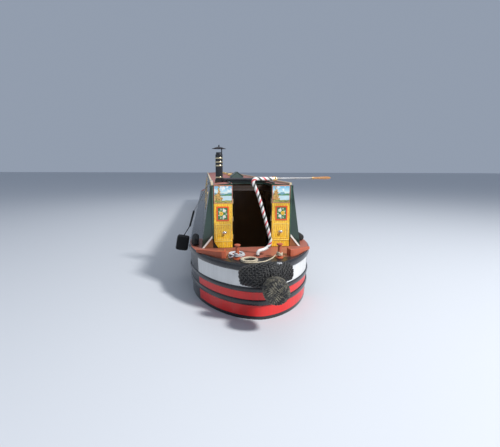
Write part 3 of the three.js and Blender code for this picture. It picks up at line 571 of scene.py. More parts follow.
# %% [markdown]
# The hull is black, with three painted bands that wrap the counter: one white under the gunwale and two red
# below it, parted by black rubbing bars. The bands stop at a plumb line on each side. On top, the deck
# plate is raddle red inside the planks, round the rudder stock and at the bow, and gloss black elsewhere.
# All of it is one material that reads the place and the way that the surface faces.

# %% Hull paint
BAND_END = ahead(0.86)
WHITE_BAND = (WATER + 0.478, WATER + 0.714)
RED_BANDS = ((WATER + 0.296, WATER + 0.410), (WATER + 0.050, WATER + 0.211))
PLANK_X, PLANK_AHEAD, PLANK_SLOPE = 0.486, 0.385, 0.99
BLACKING_TOP = WATER - 0.08
RED_DECKS = (ahead(1.80), ahead(14.90))
STOCK_AHEAD, STOCK_DISC = 0.420, 0.110
HULL_BLACK, HULL_WHITE, HULL_RED = rgb(0.011, 0.012, 0.015), rgb(0.80, 0.80, 0.78), rgb(0.78, 0.012, 0.010)
BLACKING, SIDE_DECK_RED = rgb(0.02, 0.018, 0.016), rgb(0.40, 0.115, 0.07)
DULL, SHINY = 0.35, 0.15


def deck_zone(tree, x, y):
    """One where the deck is red: inside the planks but not amidships, and in a disc round the rudder."""
    out = maths(tree, "MAXIMUM", maths(tree, "SUBTRACT", maths(tree, "ABSOLUTE", x), PLANK_X), 0.0)
    plank_line = maths(tree, "MULTIPLY_ADD", out, PLANK_SLOPE, ahead(PLANK_AHEAD))
    inside = maths(tree, "GREATER_THAN", y, plank_line)
    from_middle = maths(tree, "ABSOLUTE", maths(tree, "SUBTRACT", y, sum(RED_DECKS) / 2))
    at_ends = maths(tree, "GREATER_THAN", from_middle, (RED_DECKS[1] - RED_DECKS[0]) / 2)
    arm = node(tree, "CombineXYZ", {0: x, 1: maths(tree, "SUBTRACT", y, ahead(STOCK_AHEAD))}).outputs[0]
    from_stock = node(tree, "VectorMath", {0: arm}, operation="LENGTH").outputs["Value"]
    return maths(tree, "MAXIMUM", maths(tree, "MULTIPLY", inside, at_ends),
                 maths(tree, "LESS_THAN", from_stock, STOCK_DISC))


def hull_paint():
    """Black topsides with painted bands, blacking below water, and a deck of two colours."""
    made, tree, shader = material("hull paint", Coat_Weight=0.15, Coat_Roughness=0.12)
    x, y, z = apart(tree, coordinates(tree))
    astern = maths(tree, "LESS_THAN", y, BAND_END)
    colour = HULL_BLACK
    for (low, high), tint in ((WHITE_BAND, HULL_WHITE), *((band, HULL_RED) for band in RED_BANDS)):
        band = use(tree, stripe, Value=z, From=low, To=high)[0]
        colour = mixed(tree, maths(tree, "MULTIPLY", band, astern), colour, tint)
    colour = mixed(tree, maths(tree, "LESS_THAN", z, BLACKING_TOP), colour, BLACKING)
    upwards = maths(tree, "GREATER_THAN", apart(tree, coordinates(tree, "Normal"))[2], 0.6)
    on_deck = maths(tree, "MULTIPLY", upwards, maths(tree, "GREATER_THAN", z, DECK - 0.03))
    red_zone = deck_zone(tree, x, y)
    colour = mixed(tree, on_deck, colour, mixed(tree, red_zone, HULL_BLACK, SIDE_DECK_RED))
    banded = maths(tree, "MULTIPLY", maths(tree, "GREATER_THAN", z, RED_BANDS[1][0]), astern)
    matt = maths(tree, "MAXIMUM", maths(tree, "MULTIPLY", on_deck, red_zone),
                 maths(tree, "MULTIPLY", banded, 0.5))
    surface(tree, shader, use(tree, weathered, Color=colour, Dirt=rgb(0.11, 0.09, 0.075), Amount=0.22,
                              Gloss=maths(tree, "MULTIPLY_ADD", matt, DULL, SHINY)), 0.004)
    return made


hull_finish = hull_paint()
print("bands end at Y", round(BAND_END, 3))

# %% [markdown]
# The other paints each take the shared weathering with their own colours. A row reads: name, colour, dirt,
# how dirty, how rough where it is clean, how uneven in metres, and how much clear coat.

# %% Plain paints
deck_red = painted("red oxide", rgb(0.50, 0.100, 0.038), rgb(0.20, 0.10, 0.07), 0.45, 0.42, 0.002)
cabin_green = painted("cabin green", rgb(0.012, 0.040, 0.028), rgb(0.09, 0.10, 0.08), 0.22, 0.14, 0.002, 0.4)
cream_paint = painted("cream", rgb(0.74, 0.60, 0.40), rgb(0.32, 0.24, 0.15), 0.4, 0.3)
white_paint = painted("white", rgb(0.80, 0.80, 0.77), rgb(0.40, 0.36, 0.30), 0.25, 0.25)
bright_red = painted("signal red", rgb(0.62, 0.03, 0.02), rgb(0.25, 0.05, 0.03), 0.25, 0.25)
bottom_black = painted("bottom blacking", rgb(0.018, 0.017, 0.016), rgb(0.10, 0.07, 0.05), 0.5, 0.6)
faded_green = painted("faded green", rgb(0.055, 0.105, 0.095), rgb(0.12, 0.14, 0.12), 0.4, 0.35, 0.001)
batten_green = painted("batten green", rgb(0.045, 0.11, 0.075), rgb(0.10, 0.12, 0.09), 0.3, 0.3, 0.001)
hatch_black = painted("hatch black", rgb(0.012, 0.011, 0.015), rgb(0.05, 0.05, 0.06), 0.25, 0.68, 0.001)
engine_green = painted("engine green", rgb(0.03, 0.12, 0.06), rgb(0.03, 0.03, 0.02), 0.5, 0.3)
print("paints ready")

# %% [markdown]
# Polished brass is bright where it is rubbed and brown in the hollows. Cloudy tarnish from two noises
# changes its colour and its roughness together. Bronze, steel and nickel are the same recipe with other
# colours.

# %% Metals
def metal(name, bright, tarnished, amount, shine):
    """Bare metal with patches of tarnish."""
    made, tree, shader = material(name, Metallic=1.0)
    here = coordinates(tree)
    fine = noise(tree, here, 120, 3)
    patch = maths(tree, "MULTIPLY", ranged(tree, noise(tree, here, 9, 5), 0.42, 0.68), amount)
    rough = maths(tree, "MULTIPLY_ADD", patch, 0.35, maths(tree, "MULTIPLY_ADD", fine, 0.12, shine))
    feed(tree, shader, Base_Color=mixed(tree, patch, bright, tarnished), Roughness=rough,
         Height=(fine, 0.0003))
    return made


brass = metal("polished brass", rgb(0.88, 0.62, 0.26), rgb(0.42, 0.25, 0.09), 0.5, 0.12)
pale_brass = metal("pale rubbed brass", rgb(0.86, 0.76, 0.50), rgb(0.45, 0.35, 0.20), 0.5, 0.18)
bronze = metal("propeller bronze", rgb(0.55, 0.33, 0.15), rgb(0.16, 0.14, 0.09), 0.9, 0.3)
steel = metal("bright steel", rgb(0.36, 0.36, 0.37), rgb(0.20, 0.16, 0.12), 0.8, 0.30)
nickel = metal("nickel", rgb(0.88, 0.86, 0.80), rgb(0.55, 0.50, 0.42), 0.35, 0.12)
print("metals ready")

# %% [markdown]
# Turned and planed wood shows rings of early and late growth, stretched along the grain. Scumble, the
# painters' golden wood imitation on the doors, is the same idea laid on by hand: fine dark streaks of a
# comb over a yellow ground, with broad lighter figure. One group makes both. Fibres sets how strong the
# fine streaks are, and Mottle adds the short dark flecks of a dabbed brush.

# %% Shared effect: wood figure
figured, wood_in, wood_out = group(
    "wood figure",
    [("Vector", "Vector", None), ("Light", "Color", rgb(0.7, 0.4, 0.15)),
     ("Dark", "Color", rgb(0.3, 0.13, 0.04)), ("Rings", "Float", 30.0), ("Wander", "Float", 4.0),
     ("Contrast", "Float", 0.6), ("Mottle", "Float", 0.2), ("Fibres", "Float", 0.6)], SURFACE)
grain_at = wood_in["Vector"]
rings = node(figured, "TexWave", {"Vector": grain_at, "Scale": wood_in["Rings"],
                                  "Distortion": wood_in["Wander"], "Detail": 3, "Detail Scale": 1.2},
             wave_type="BANDS", bands_direction="X").outputs["Fac"]
fibres = noise(figured, stretched(figured, grain_at, (260, 260, 16)), 1.0, 4)
fibres = maths(figured, "MULTIPLY_ADD", fibres, wood_in["Fibres"], 0.1)
flecks = ranged(figured, noise(figured, grain_at, 38, 5, 0.7), 0.38, 0.62, -0.5, 0.5)
figure = maths(figured, "MULTIPLY_ADD", rings, 0.5, fibres)
figure = ranged(figured, maths(figured, "MULTIPLY_ADD", flecks, wood_in["Mottle"], figure), 0.3, 0.85)
strength = maths(figured, "MULTIPLY", figure, wood_in["Contrast"])
give(figured, wood_out, Color=mixed(figured, strength, wood_in["Light"], wood_in["Dark"]),
     Roughness=maths(figured, "MULTIPLY_ADD", figure, 0.12, 0.22), Height=figure)
GRAIN_RELIEF = 0.0004


def wooden(name, light, dark, rings, wander, contrast, along="Z", coat=0.3):
    """Wood or its painted likeness, with the grain along one axis."""
    made, tree, shader = material(name, Coat_Weight=coat, Coat_Roughness=0.12)
    turns = {"Z": (0, 0, 0), "Y": (math.pi / 2, 0, 0), "X": (0, math.pi / 2, 0)}
    grain = node(tree, "Mapping", {"Vector": coordinates(tree), "Rotation": turns[along]}).outputs[0]
    surface(tree, shader, use(tree, figured, Vector=grain, Light=light, Dark=dark, Rings=rings, Wander=wander,
                              Contrast=contrast), GRAIN_RELIEF)
    return made


# The mouldings are a paler, brighter yellow than the doors: partly their own paler ground, partly painted
# highlight for the light that catches their raised edges.
scumble = wooden("golden moulding with painted highlight", rgb(1.0, 0.80, 0.20), rgb(0.85, 0.55, 0.08), 9, 7, 0.5)
handle_wood = wooden("turned handle", rgb(0.55, 0.27, 0.09), rgb(0.20, 0.07, 0.02), 30, 3, 0.7, "Y")
# The beam's wood is painted nearly black, far darker than varnish: painted shade for the beam under the roof.
beam_wood_painted_shade = wooden("varnished wood with painted shade", rgb(0.055, 0.033, 0.020), rgb(0.025, 0.014, 0.009), 7, 3, 0.6, "X")
floor_wood = wooden("floor boards", rgb(0.45, 0.28, 0.13), rgb(0.22, 0.11, 0.04), 9, 4, 0.6, "Y", 0.0)
print("woods ready")

# %% [markdown]
# The doors are golden on one face and green on the other. The rear doors stand open in the picture, so that
# their golden inner face looks astern. The surface's own direction at rest tells the two faces apart, and
# it turns with the door when it closes. The glass is clear, with faint smears.

# %% Door and glass finishes
GREEN = rgb(0.012, 0.040, 0.028)


def door_paint():
    """Golden scumble on the face that looks astern at rest, green on the one that looks ahead."""
    made, tree, shader = material("door paint", Coat_Weight=0.35, Coat_Roughness=0.1)
    green_face = maths(tree, "GREATER_THAN", apart(tree, coordinates(tree, "Normal"))[1], 0.5)
    wood = use(tree, figured, Vector=coordinates(tree), Light=rgb(0.96, 0.62, 0.045),
               Dark=rgb(0.56, 0.22, 0.010), Rings=9, Wander=7, Contrast=0.75, Mottle=0.55, Fibres=0.35)
    skin = use(tree, weathered, Color=GREEN, Amount=0.2, Gloss=0.16)
    rough = node(tree, "Mix", {0: green_face, 2: wood["Roughness"], 3: skin["Roughness"]}).outputs[0]
    feed(tree, shader, Base_Color=mixed(tree, green_face, wood["Color"], skin["Color"]), Roughness=rough,
         Height=(wood["Height"], GRAIN_RELIEF))
    return made


def glass_paint():
    """Window glass with faint smears."""
    made, tree, shader = material("window glass", Transmission_Weight=1.0, IOR=1.45)
    smear = noise(tree, coordinates(tree), 5, 5)
    feed(tree, shader, Base_Color=mixed(tree, smear, rgb(0.62, 0.68, 0.68), rgb(0.80, 0.84, 0.84)),
         Roughness=ranged(tree, smear, 0.35, 0.75, 0.0, 0.07))
    return made


door_finish = door_paint()
glass = glass_paint()
print("door and glass finishes ready")

# %% [markdown]
# The cabin sides are green with thin cream coach lines that frame two long panels, and their inner faces
# are lined. One paint tells the inner from the outer face by whether the surface looks towards the middle
# line. The bulkheads and the roof do the same with other directions, and the roof's top is raddle red with
# a green border.

# %% Cabin paints
COACH_PANELS = ((ahead(1.25), ahead(3.95)), (ahead(4.15), ahead(14.75)))
COACH_Z, COACH_LINE, COACH_CREAM = (1.520, 2.350), 0.014, rgb(0.78, 0.62, 0.36)
LINING, ROOF_RED = rgb(0.42, 0.27, 0.12), rgb(0.33, 0.085, 0.065)
ROOF_BORDER_X, ROOF_BORDER_AHEAD = 0.612, 1.095


def box_mask(tree, y, z, ends, heights, shrink=0.0):
    """One inside a rectangle of the cabin side, zero outside it."""
    along = use(tree, stripe, Value=y, From=ends[0] + shrink, To=ends[1] - shrink)[0]
    up_it = use(tree, stripe, Value=z, From=heights[0] + shrink, To=heights[1] - shrink)[0]
    return maths(tree, "MULTIPLY", along, up_it)


def coach_lines(tree, y, z, colour):
    """A colour with the cream lines that frame the two panels of a cabin side."""
    for ends in COACH_PANELS:
        outer = box_mask(tree, y, z, ends, COACH_Z)
        inner = box_mask(tree, y, z, ends, COACH_Z, COACH_LINE)
        colour = mixed(tree, maths(tree, "SUBTRACT", outer, inner), colour, COACH_CREAM)
    return colour


def cabin_paint(name, lined_where, coached=False):
    """Weathered green outside and varnished lining on the faces that lined_where picks."""
    made, tree, shader = material(name, Coat_Weight=0.4, Coat_Roughness=0.06)
    x, y, z = apart(tree, coordinates(tree))
    facing = apart(tree, coordinates(tree, "Normal"))
    shade = coach_lines(tree, y, z, GREEN) if coached else GREEN
    shade = mixed(tree, lined_where(tree, x, facing), shade, LINING)
    surface(tree, shader, use(tree, weathered, Color=shade, Dirt=rgb(0.09, 0.10, 0.08), Amount=0.18,
                              Gloss=0.12), 0.001)
    return made


def roof_paint():
    """Raddle red on top with a green border, green edges, and lining below."""
    made, tree, shader = material("roof paint", Coat_Weight=0.0)
    x, y, _ = apart(tree, coordinates(tree))
    facing = apart(tree, coordinates(tree, "Normal"))[2]
    on_top = maths(tree, "GREATER_THAN", facing, 0.7)
    within = maths(tree, "LESS_THAN", maths(tree, "ABSOLUTE", x), ROOF_BORDER_X)
    clear_of_end = maths(tree, "GREATER_THAN", y, ahead(ROOF_BORDER_AHEAD))
    red = maths(tree, "MULTIPLY", on_top, maths(tree, "MULTIPLY", within, clear_of_end))
    shade = mixed(tree, red, GREEN, ROOF_RED)
    shade = mixed(tree, maths(tree, "LESS_THAN", facing, -0.5), shade, LINING)
    surface(tree, shader, use(tree, weathered, Color=shade, Dirt=rgb(0.30, 0.20, 0.17),
                              Amount=maths(tree, "MULTIPLY_ADD", red, 0.4, 0.1),
                              Gloss=maths(tree, "MULTIPLY_ADD", red, 0.3, 0.16)), 0.002)
    return made


side_paint = cabin_paint("cabin side paint", lambda tree, x, facing: maths(
    tree, "LESS_THAN", maths(tree, "MULTIPLY", x, facing[0]), -0.2), True)
after_paint = cabin_paint("after bulkhead paint", lambda tree, x, facing: maths(
    tree, "GREATER_THAN", facing[1], 0.5))
fore_paint = cabin_paint("fore bulkhead paint", lambda tree, x, facing: maths(
    tree, "LESS_THAN", facing[1], -0.5))
roof_finish = roof_paint()
print("cabin paints ready")

# %% [markdown]
# Each CAD node that stays as it is now gets its finish. The table reads: finish, then the nodes. The curved
# nodes come later, as smooth copies.

# %% Finishes of the CAD nodes
OPENINGS = ("window_1", "window_2", "window_3", "porthole")
FINISHES = (
    (bottom_black, ("base_plate", "rudder")),
    (deck_red, ("front_well", "locker_lid")),
    (cabin_green, ("hatch_rails",)),
    (faded_green, ("vent_box", "vent_lid_port", "vent_lid_starboard")),
    (cream_paint, ("handrail_port", "handrail_starboard")),
    (side_paint, ("cabin_side_port", "cabin_side_starboard")),
    (after_paint, ("rear_bulkhead",)),
    (fore_paint, ("front_bulkhead",)),
    (door_finish, ("rear_door_port", "rear_door_starboard", "front_door_port", "front_door_starboard")),
    (glass, tuple(f"{what}_{side}" for what in OPENINGS for side, _, _ in SIDES)),
    (engine_green, ("engine",)),
    (floor_wood, ("cabin_floor", "rear_floor", "partition")),
)
for finish_of, names in FINISHES:
    for name in names:
        data = nodes[name].data
        data.materials.clear()
        data.materials.append(finish_of)
print("finished nodes:", sum(len(names) for _, names in FINISHES))

# %% [markdown]
# A rope fender is a fat core with a strand hitched over it in tight rows. Here the strand is one long
# curve: it winds round the core row after row and weaves in and out as it goes. An odd half wave in each
# turn puts every crest beside a hollow of the next row, which is how the hitches of a real fender lie.

# %% Helpers for wound rope
ROW_LEAN, LEAST_RADIUS, WAVE_POINTS = 0.42, 0.02, 6


def squared(angle, squareness):
    """How far out a rounded square reaches at an angle, beside a circle: 2 is the circle itself."""
    return (abs(math.cos(angle)) ** squareness + abs(math.sin(angle)) ** squareness) ** (-1 / squareness)


def wind(spine, profile, pitch, wave, weave, squareness):
    """Points of a strand wound on a round body about a spine. The profile is (place 0-1, radius) pairs."""
    total = path_length(spine)
    outline = [Vector((place * total, radius)) for place, radius in profile]
    reach = path_length(outline)
    points, travelled, angle = [], 0.0, 0.0
    while travelled < reach:
        rest = travelled
        for a, b in zip(outline, outline[1:]):
            if rest <= (b - a).length:
                break
            rest -= (b - a).length
        across = (b - a).normalized()
        along, radius = a + across * min(rest, (b - a).length)
        waves = max(2, round(math.tau * max(radius, LEAST_RADIUS) / wave)) + 0.5
        swell = math.sin(angle * waves)
        lean = ROW_LEAN * pitch * math.cos(angle * waves)
        along += across.x * lean - across.y * weave * swell * (1 if across.y else 0)
        radius += across.y * lean + abs(across.x) * weave * swell
        step = min(max(along / total, 0.0), 1.0) * (len(spine) - 1)
        i = min(int(step), len(spine) - 2)
        centre = spine[i].lerp(spine[i + 1], step - i)
        aim = (spine[min(i + 2, len(spine) - 1)] - spine[max(i - 1, 0)]).normalized()
        if along < 0:
            centre = spine[0] + aim * along
        elif along > total:
            centre = spine[-1] + aim * (along - total)
        side = aim.cross(Vector((0, 0, 1)) if abs(aim.z) < 0.9 else Vector((0, 1, 0))).normalized()
        arm = side * math.cos(angle) + aim.cross(side) * math.sin(angle)
        points.append(centre + arm * max(radius, 0.0) * squared(angle, squareness))
        turn = math.tau / (waves * WAVE_POINTS)
        angle += turn
        travelled += pitch * turn / math.tau
    return points


def strand(name, points, thickness, finish_of, body):
    """A rope strand as a curve with a round section."""
    data = bpy.data.curves.new(name, "CURVE")
    data.dimensions = "3D"
    data.bevel_depth = thickness / 2
    data.bevel_resolution = 1
    data.use_fill_caps = True
    spline = data.splines.new("POLY")
    spline.points.add(len(points) - 1)
    for knot, point in zip(spline.points, points):
        knot.co = (*point, 1)
    data.materials.append(finish_of)
    made = bpy.data.objects.new(name, data)
    bpy.context.scene.collection.objects.link(made)
    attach(made, body)


print("rope helpers ready")

# %% [markdown]
# Fender rope has been tarred and rained on for years. It is nearly black in the hollows, and its crests are
# worn to a dusty grey brown.

# %% Fender rope
TAR = rgb(0.010, 0.010, 0.011)


def tarred(name, worn, amount):
    """Tarred rope, worn in patches."""
    made, tree, shader = material(name, Sheen_Weight=0.1)
    here = coordinates(tree)
    broad, fine = noise(tree, here, 16, 5, 0.7), noise(tree, here, 220, 3)
    patch = ranged(tree, maths(tree, "MULTIPLY_ADD", fine, 0.35, broad), 0.6, 0.85)
    patch = maths(tree, "MULTIPLY", patch, amount, clamp=True)
    rough = maths(tree, "MULTIPLY_ADD", fine, 0.35, 0.42)
    feed(tree, shader, Base_Color=mixed(tree, patch, TAR, worn), Roughness=rough, Height=(fine, 0.002))
    return made


tar_rope = tarred("tarred rope", rgb(0.085, 0.080, 0.070), 0.45)
black_rope = tarred("black rope", rgb(0.022, 0.022, 0.023), 0.25)
worn_rope = tarred("worn tarred rope", rgb(0.24, 0.215, 0.15), 1.0)
print("fender ropes ready")

# %% [markdown]
# The stern carries two fenders: a long one bent round the counter under the gunwale, with blunt ends and a
# short white lashing, and a fat drum behind it whose woven face is what first meets a lock gate. Each gets
# a smooth core a little inside its solid, and then the wound strand. The long one's spine is read from the
# solid.

# %% Stern fenders
STRAND = 0.020


def ring_centres(node_name, axis, steps):
    """Middles of slices through a CAD node, taken at even places along one axis."""
    low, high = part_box(node_name)
    corners = [v.co for v in nodes[node_name].data.vertices]
    middles = []
    for i in range(steps):
        place = low[axis] + (high[axis] - low[axis]) * (i + 0.5) / steps
        near = [c for c in corners if abs(c[axis] - place) < (high[axis] - low[axis]) / steps]
        middle = Vector([(min(c[k] for c in near) + max(c[k] for c in near)) / 2 for k in range(3)])
        middle[axis] = place
        middles.append(middle)
    return middles


def fender(name, replaced, spine, profile, finish_of, pitch=0.024, wave=0.045, weave=0.006, squareness=2.0,
           thickness=STRAND, core_sides=28, flat=1.0, lean=0.0):
    """A smooth core and its hitched strand. Flat squeezes it fore and aft, lean tilts it to one side."""
    core_mesh = bmesh.new()
    inner = [(place, max(radius - thickness * 0.5, 0)) for place, radius in profile]

    def core_radius(t):
        for (a, ra), (b, rb) in zip(inner, inner[1:]):
            if a <= t <= b and b > a:
                return ra + (rb - ra) * (t - a) / (b - a)
        return max(r for _, r in inner[-2:])

    fine_spine = [spine[0].copy()]
    for a, b in zip(spine, spine[1:]):
        fine_spine += [a.lerp(b, k / 3) for k in (1, 2, 3)]
    swept(core_mesh, fine_spine, core_radius, core_sides)
    if squareness > 2:
        middle = sum(fine_spine, Vector()) / len(fine_spine)
        for vert in core_mesh.verts:
            x, y = vert.co.x - middle.x, vert.co.y - middle.y
            grown = squared(math.atan2(y, x), squareness)
            vert.co.x, vert.co.y = middle.x + x * grown, middle.y + y * grown
    points = wind(spine, profile, pitch, wave, weave, squareness)
    places = [vert.co for vert in core_mesh.verts] + points
    if flat < 1:
        for place in places:
            nearest = min(fine_spine, key=lambda p: abs(p.x - place.x))
            place.y = nearest.y + (place.y - nearest.y) * flat
    if lean:
        pivot, tilt = (spine[0] + spine[-1]) / 2, Matrix.Rotation(lean, 3, "Y")
        for place in places:
            place[:] = pivot + tilt @ (place - pivot)
    piece(f"{name}_core", core_mesh, tar_rope, "hull", replaced)
    strand(f"{name}_hitching", points, thickness, finish_of, "hull")
    print(name, "strand", round(path_length(points), 1), "m in", len(points), "points")


TIPCAT_SLICES, TIPCAT_R, TIPCAT_BLUNT, TIPCAT_FLAT = 15, 0.170, 0.28, 0.68
tipcat_spine = ring_centres("stern_fender", 0, TIPCAT_SLICES)
tip_low, tip_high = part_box("stern_fender")
tip_radius = TIPCAT_R - STRAND * 0.55


def tip_swell(t):
    """The long fender's radius at a place along it, 0 to 1."""
    return tip_radius * math.sin(math.pi * (TIPCAT_BLUNT / 2 + (1 - TIPCAT_BLUNT) * t)) ** 0.5


tipcat_profile = [(0.0, 0.0)] + [(i / 12, tip_swell(i / 12)) for i in range(13)] + [(1.0, 0.0)]
fender("tipcat", ("stern_fender",), tipcat_spine, tipcat_profile, tar_rope, pitch=0.030, wave=0.062,
       weave=0.011, flat=TIPCAT_FLAT)

LASHING_X, LASHING_TILTS, LASHING_STEPS = (0.172, 0.246), (62, 71), 8
LASHING_CORD, LASHING_CLEAR = 0.007, 0.013
lashing_mesh = bmesh.new()
for tilt in LASHING_TILTS:
    line, rise = [], math.radians(tilt)
    for k in range(LASHING_STEPS + 1):
        x = LASHING_X[0] + (LASHING_X[1] - LASHING_X[0]) * k / LASHING_STEPS
        grip = tip_swell((x - tip_low.x) / (tip_high.x - tip_low.x))
        grip += LASHING_CLEAR if 0 < k < LASHING_STEPS else 0.0
        at = min(tipcat_spine, key=lambda p: abs(p.x - x))
        line.append(Vector((x, at.y - math.cos(rise) * grip * TIPCAT_FLAT, at.z + math.sin(rise) * grip)))
    swept(lashing_mesh, smooth_path(line, 0.006), LASHING_CORD, 8)
piece("tipcat_lashing", lashing_mesh, white_rope, "hull")

DRUM_PARTS, DRUM_END = 6, 0.006
DRUM_SHAPE = ((0, 0.66), (0.10, 0.88), (0.30, 0.98), (0.65, 1.0), (0.88, 0.94), (0.965, 0.76), (0.99, 0.4),
              (0.995, 0.0))
drum_low, drum_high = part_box("button_fender")
drum_middle = (drum_low + drum_high) / 2
drum_radius = (drum_high.z - drum_low.z) / 2 - STRAND * 0.5
drum_long = drum_high.y - drum_low.y
drum_spine = [Vector((drum_middle.x, drum_high.y - drum_long * i / DRUM_PARTS, drum_middle.z))
              for i in range(DRUM_PARTS + 1)]
drum_spine[-1].y += DRUM_END
drum_profile = [(place, drum_radius * size) for place, size in DRUM_SHAPE]
fender("drum", ("button_fender",), drum_spine, drum_profile, worn_rope, pitch=0.021, wave=0.034, weave=0.005,
       thickness=0.016)

# %% [markdown]
# The other fenders are made the same way. A square one hangs outside the port gunwale on a short line from
# the handrail, one lies stowed on each gunwale, and a big one covers the stem.

# %% Side and bow fenders
def straight(a, b, steps=6):
    """A straight spine of a few points."""
    return [Vector(a).lerp(Vector(b), i / steps) for i in range(steps + 1)]


def drum_shape(radius, length, rounding=0.03):
    """A profile with rounded shoulders and closed ends, as (place 0-1, radius) pairs."""
    shoulder = rounding / length
    arc = [(shoulder * (1 - math.cos(a)), radius - rounding * (1 - math.sin(a)))
           for a in (i * math.pi / 8 for i in range(5))]
    return [(0, 0)] + arc + [(1 - t, r) for t, r in reversed(arc)] + [(1, 0)]


BLOCK_HALF, BLOCK_TALL, BLOCK_LEAN = 0.106, 0.258, math.radians(10)
block_low, block_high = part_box("side_fender")
block_middle = (block_low + block_high) / 2
half_way = Vector((0, 0, BLOCK_TALL / 2))
fender("hanging_fender", ("side_fender",), straight(block_middle + half_way, block_middle - half_way),
       drum_shape(BLOCK_HALF, BLOCK_TALL), black_rope, pitch=0.025, wave=0.04, weave=0.004,
       squareness=7.0, thickness=0.018, core_sides=40, lean=BLOCK_LEAN)

STOWED_IN, END_IN = 0.008, 0.004
for side, _, _ in SIDES:
    low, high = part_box(f"stowed_fender_{side}")
    middle = (low + high) / 2
    fender(f"stowed_{side}", (f"stowed_fender_{side}",),
           straight((middle.x, low.y + END_IN, middle.z), (middle.x, high.y - END_IN, middle.z)),
           drum_shape((high.z - low.z) / 2 - STOWED_IN, high.y - low.y), tar_rope, pitch=0.017, wave=0.028,
           weave=0.003, thickness=0.013)

BOW_IN = 0.01
BOW_SHAPE = ((0, 0), (0.0, 0.5), (0.18, 0.93), (0.48, 1.0), (0.8, 0.86), (0.97, 0.43), (1, 0))
low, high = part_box("bow_fender")
middle, radius = (low + high) / 2, (high.z - low.z) / 2 - BOW_IN
fender("bow", ("bow_fender",), straight((middle.x, low.y, middle.z), (middle.x, high.y - END_IN, middle.z)),
       [(place, radius * size) for place, size in BOW_SHAPE], tar_rope, pitch=0.024, wave=0.04, weave=0.005)

# %% [markdown]
# Round and curved CAD nodes come as flat triangles. A merged copy with smooth shading stands for each, so
# that paint and metal catch the light as on the real curves. The copy keeps the node's own shape.

# %% Smooth copies of the curved nodes
CURVE = math.radians(28)


def smoothed(name, finish_of):
    """A merged, smooth-shaded copy of a CAD node that replaces it."""
    copy = bmesh.new()
    copy.from_mesh(nodes[name].data)
    piece(f"{name}_finish", copy, finish_of, nodes[name]["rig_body"], (name,), soften=CURVE)


CURVED = (
    (hull_finish, ("hull_shell",)),
    (black_paint, ("guard_top", "guard_middle", "guard_lower", "bow_post")),
    (deck_red, ("cant_port", "cant_starboard", "dolly_port", "dolly_starboard")),
    (roof_finish, ("roof",)),
    (hatch_black, ("sliding_hatch",)),
    (black_paint, ("chimney_collar",)),
    (brass, ("mushroom_vent", "headlamp")),
    (bronze, ("propeller",)),
    (steel, ("stern_tube",)),
    (handle_wood, ("tiller_handle",)),
    (steel, ("tiller_bar",)),
)
for finish_of, names in CURVED:
    for name in names:
        smoothed(name, finish_of)
print("smooth copies:", sum(len(names) for _, names in CURVED))

# %% [markdown]
# The swan neck is a bent tube, painted like a barber's pole: red and black-green stripes a hand's width
# apart wind down it on a white ground, and its lowest bend is plain white. The stripes follow the tube's
# own UVs, so they keep their slant round every bend. The route is the CAD model's, in millimetres out from
# the stock and up from the flat bottom, turned with the tiller about the stock.

# %% Swan neck
STOCK = Vector((0, ahead(STOCK_AHEAD), 0))
TILLER_TURN = math.radians(-70)
NECK_R, STRIPE_PITCH, STRIPE_SHIFT, WHITE_UP_TO = 0.0255, 0.168, 1.36, 0.215
NECK = ((0, 1452), (0, 1467), (8, 1490), (26, 1506), (52, 1512), (100, 1518), (155, 1538), (204, 1582),
        (218, 1640), (190, 1760), (20, 2290), (-68, 2485), (-84, 2526), (-72, 2558), (-36, 2573), (60, 2573),
        (258, 2573))
POLE_WHITE, POLE_RED, POLE_DARK = rgb(0.80, 0.79, 0.76), rgb(0.66, 0.03, 0.05), rgb(0.012, 0.022, 0.016)
POLE_STOPS = ((0.0, POLE_WHITE), (0.27, POLE_RED), (0.48, POLE_WHITE), (0.77, POLE_DARK))


def on_tiller(out, z):
    """A place in the tiller's upright plane, out from the stock, at the tiller's resting angle."""
    return STOCK + Vector((-math.sin(TILLER_TURN) * out, math.cos(TILLER_TURN) * out, z))


def striped_paint():
    """Stripes that wind round a tube whose UVs run along it in metres and once around it."""
    made, tree, shader = material("striped tiller paint", Coat_Weight=0.4, Coat_Roughness=0.08)
    along, around, _ = apart(tree, coordinates(tree, "UV"))
    shifted = maths(tree, "SUBTRACT", STRIPE_SHIFT, around)
    turn = maths(tree, "FRACT", maths(tree, "ADD", maths(tree, "DIVIDE", along, STRIPE_PITCH), shifted))
    plain = maths(tree, "LESS_THAN", along, WHITE_UP_TO)
    colour = mixed(tree, plain, ramp(tree, turn, POLE_STOPS, "CONSTANT"), POLE_WHITE)
    look_of = use(tree, weathered, Color=colour, Dirt=rgb(0.36, 0.32, 0.27), Amount=0.3, Gloss=0.16)
    feed(tree, shader, Base_Color=look_of["Color"], Roughness=look_of["Roughness"])
    return made


neck_route = smooth_path([on_tiller(out / 1000, z / 1000) for out, z in NECK], 0.012)
neck_mesh = bmesh.new()
swept(neck_mesh, neck_route, NECK_R, 24)
piece("striped_neck", neck_mesh, striped_paint(), "steering", ("swan_neck",))

BAR_Z, BAR_START, BAR_END = 2.573, 0.258, 0.966
NECK_COLLAR = ((0.0, -0.012), (0.030, -0.012), (0.031, -0.004), (0.031, 0.006), (0.026, 0.012), (0.024, 0.04),
               (0.026, 0.046), (0.024, 0.052), (0.0, 0.052))
HANDLE_COLLAR = ((0.0, -0.010), (0.021, -0.010), (0.022, 0.0), (0.018, 0.006), (0.0, 0.006))
collar_mesh = bmesh.new()
for profile, out in ((NECK_COLLAR, BAR_START), (HANDLE_COLLAR, BAR_END)):
    turned(collar_mesh, profile, aimed(on_tiller(out, BAR_Z), on_tiller(1, 0) - on_tiller(0, 0)))
piece("tiller_collars", collar_mesh, brass, "steering")
print("neck length", round(path_length(neck_route), 3), "m")

# %% [markdown]
# The chimney is a black steel sleeve round a narrower pipe, with three brass bands near its top and one
# lower down. A flat brimmed hat stands over it on one strip of steel. It is turned afresh from a profile,
# finer than its solid. Heights are from the pipe's top.

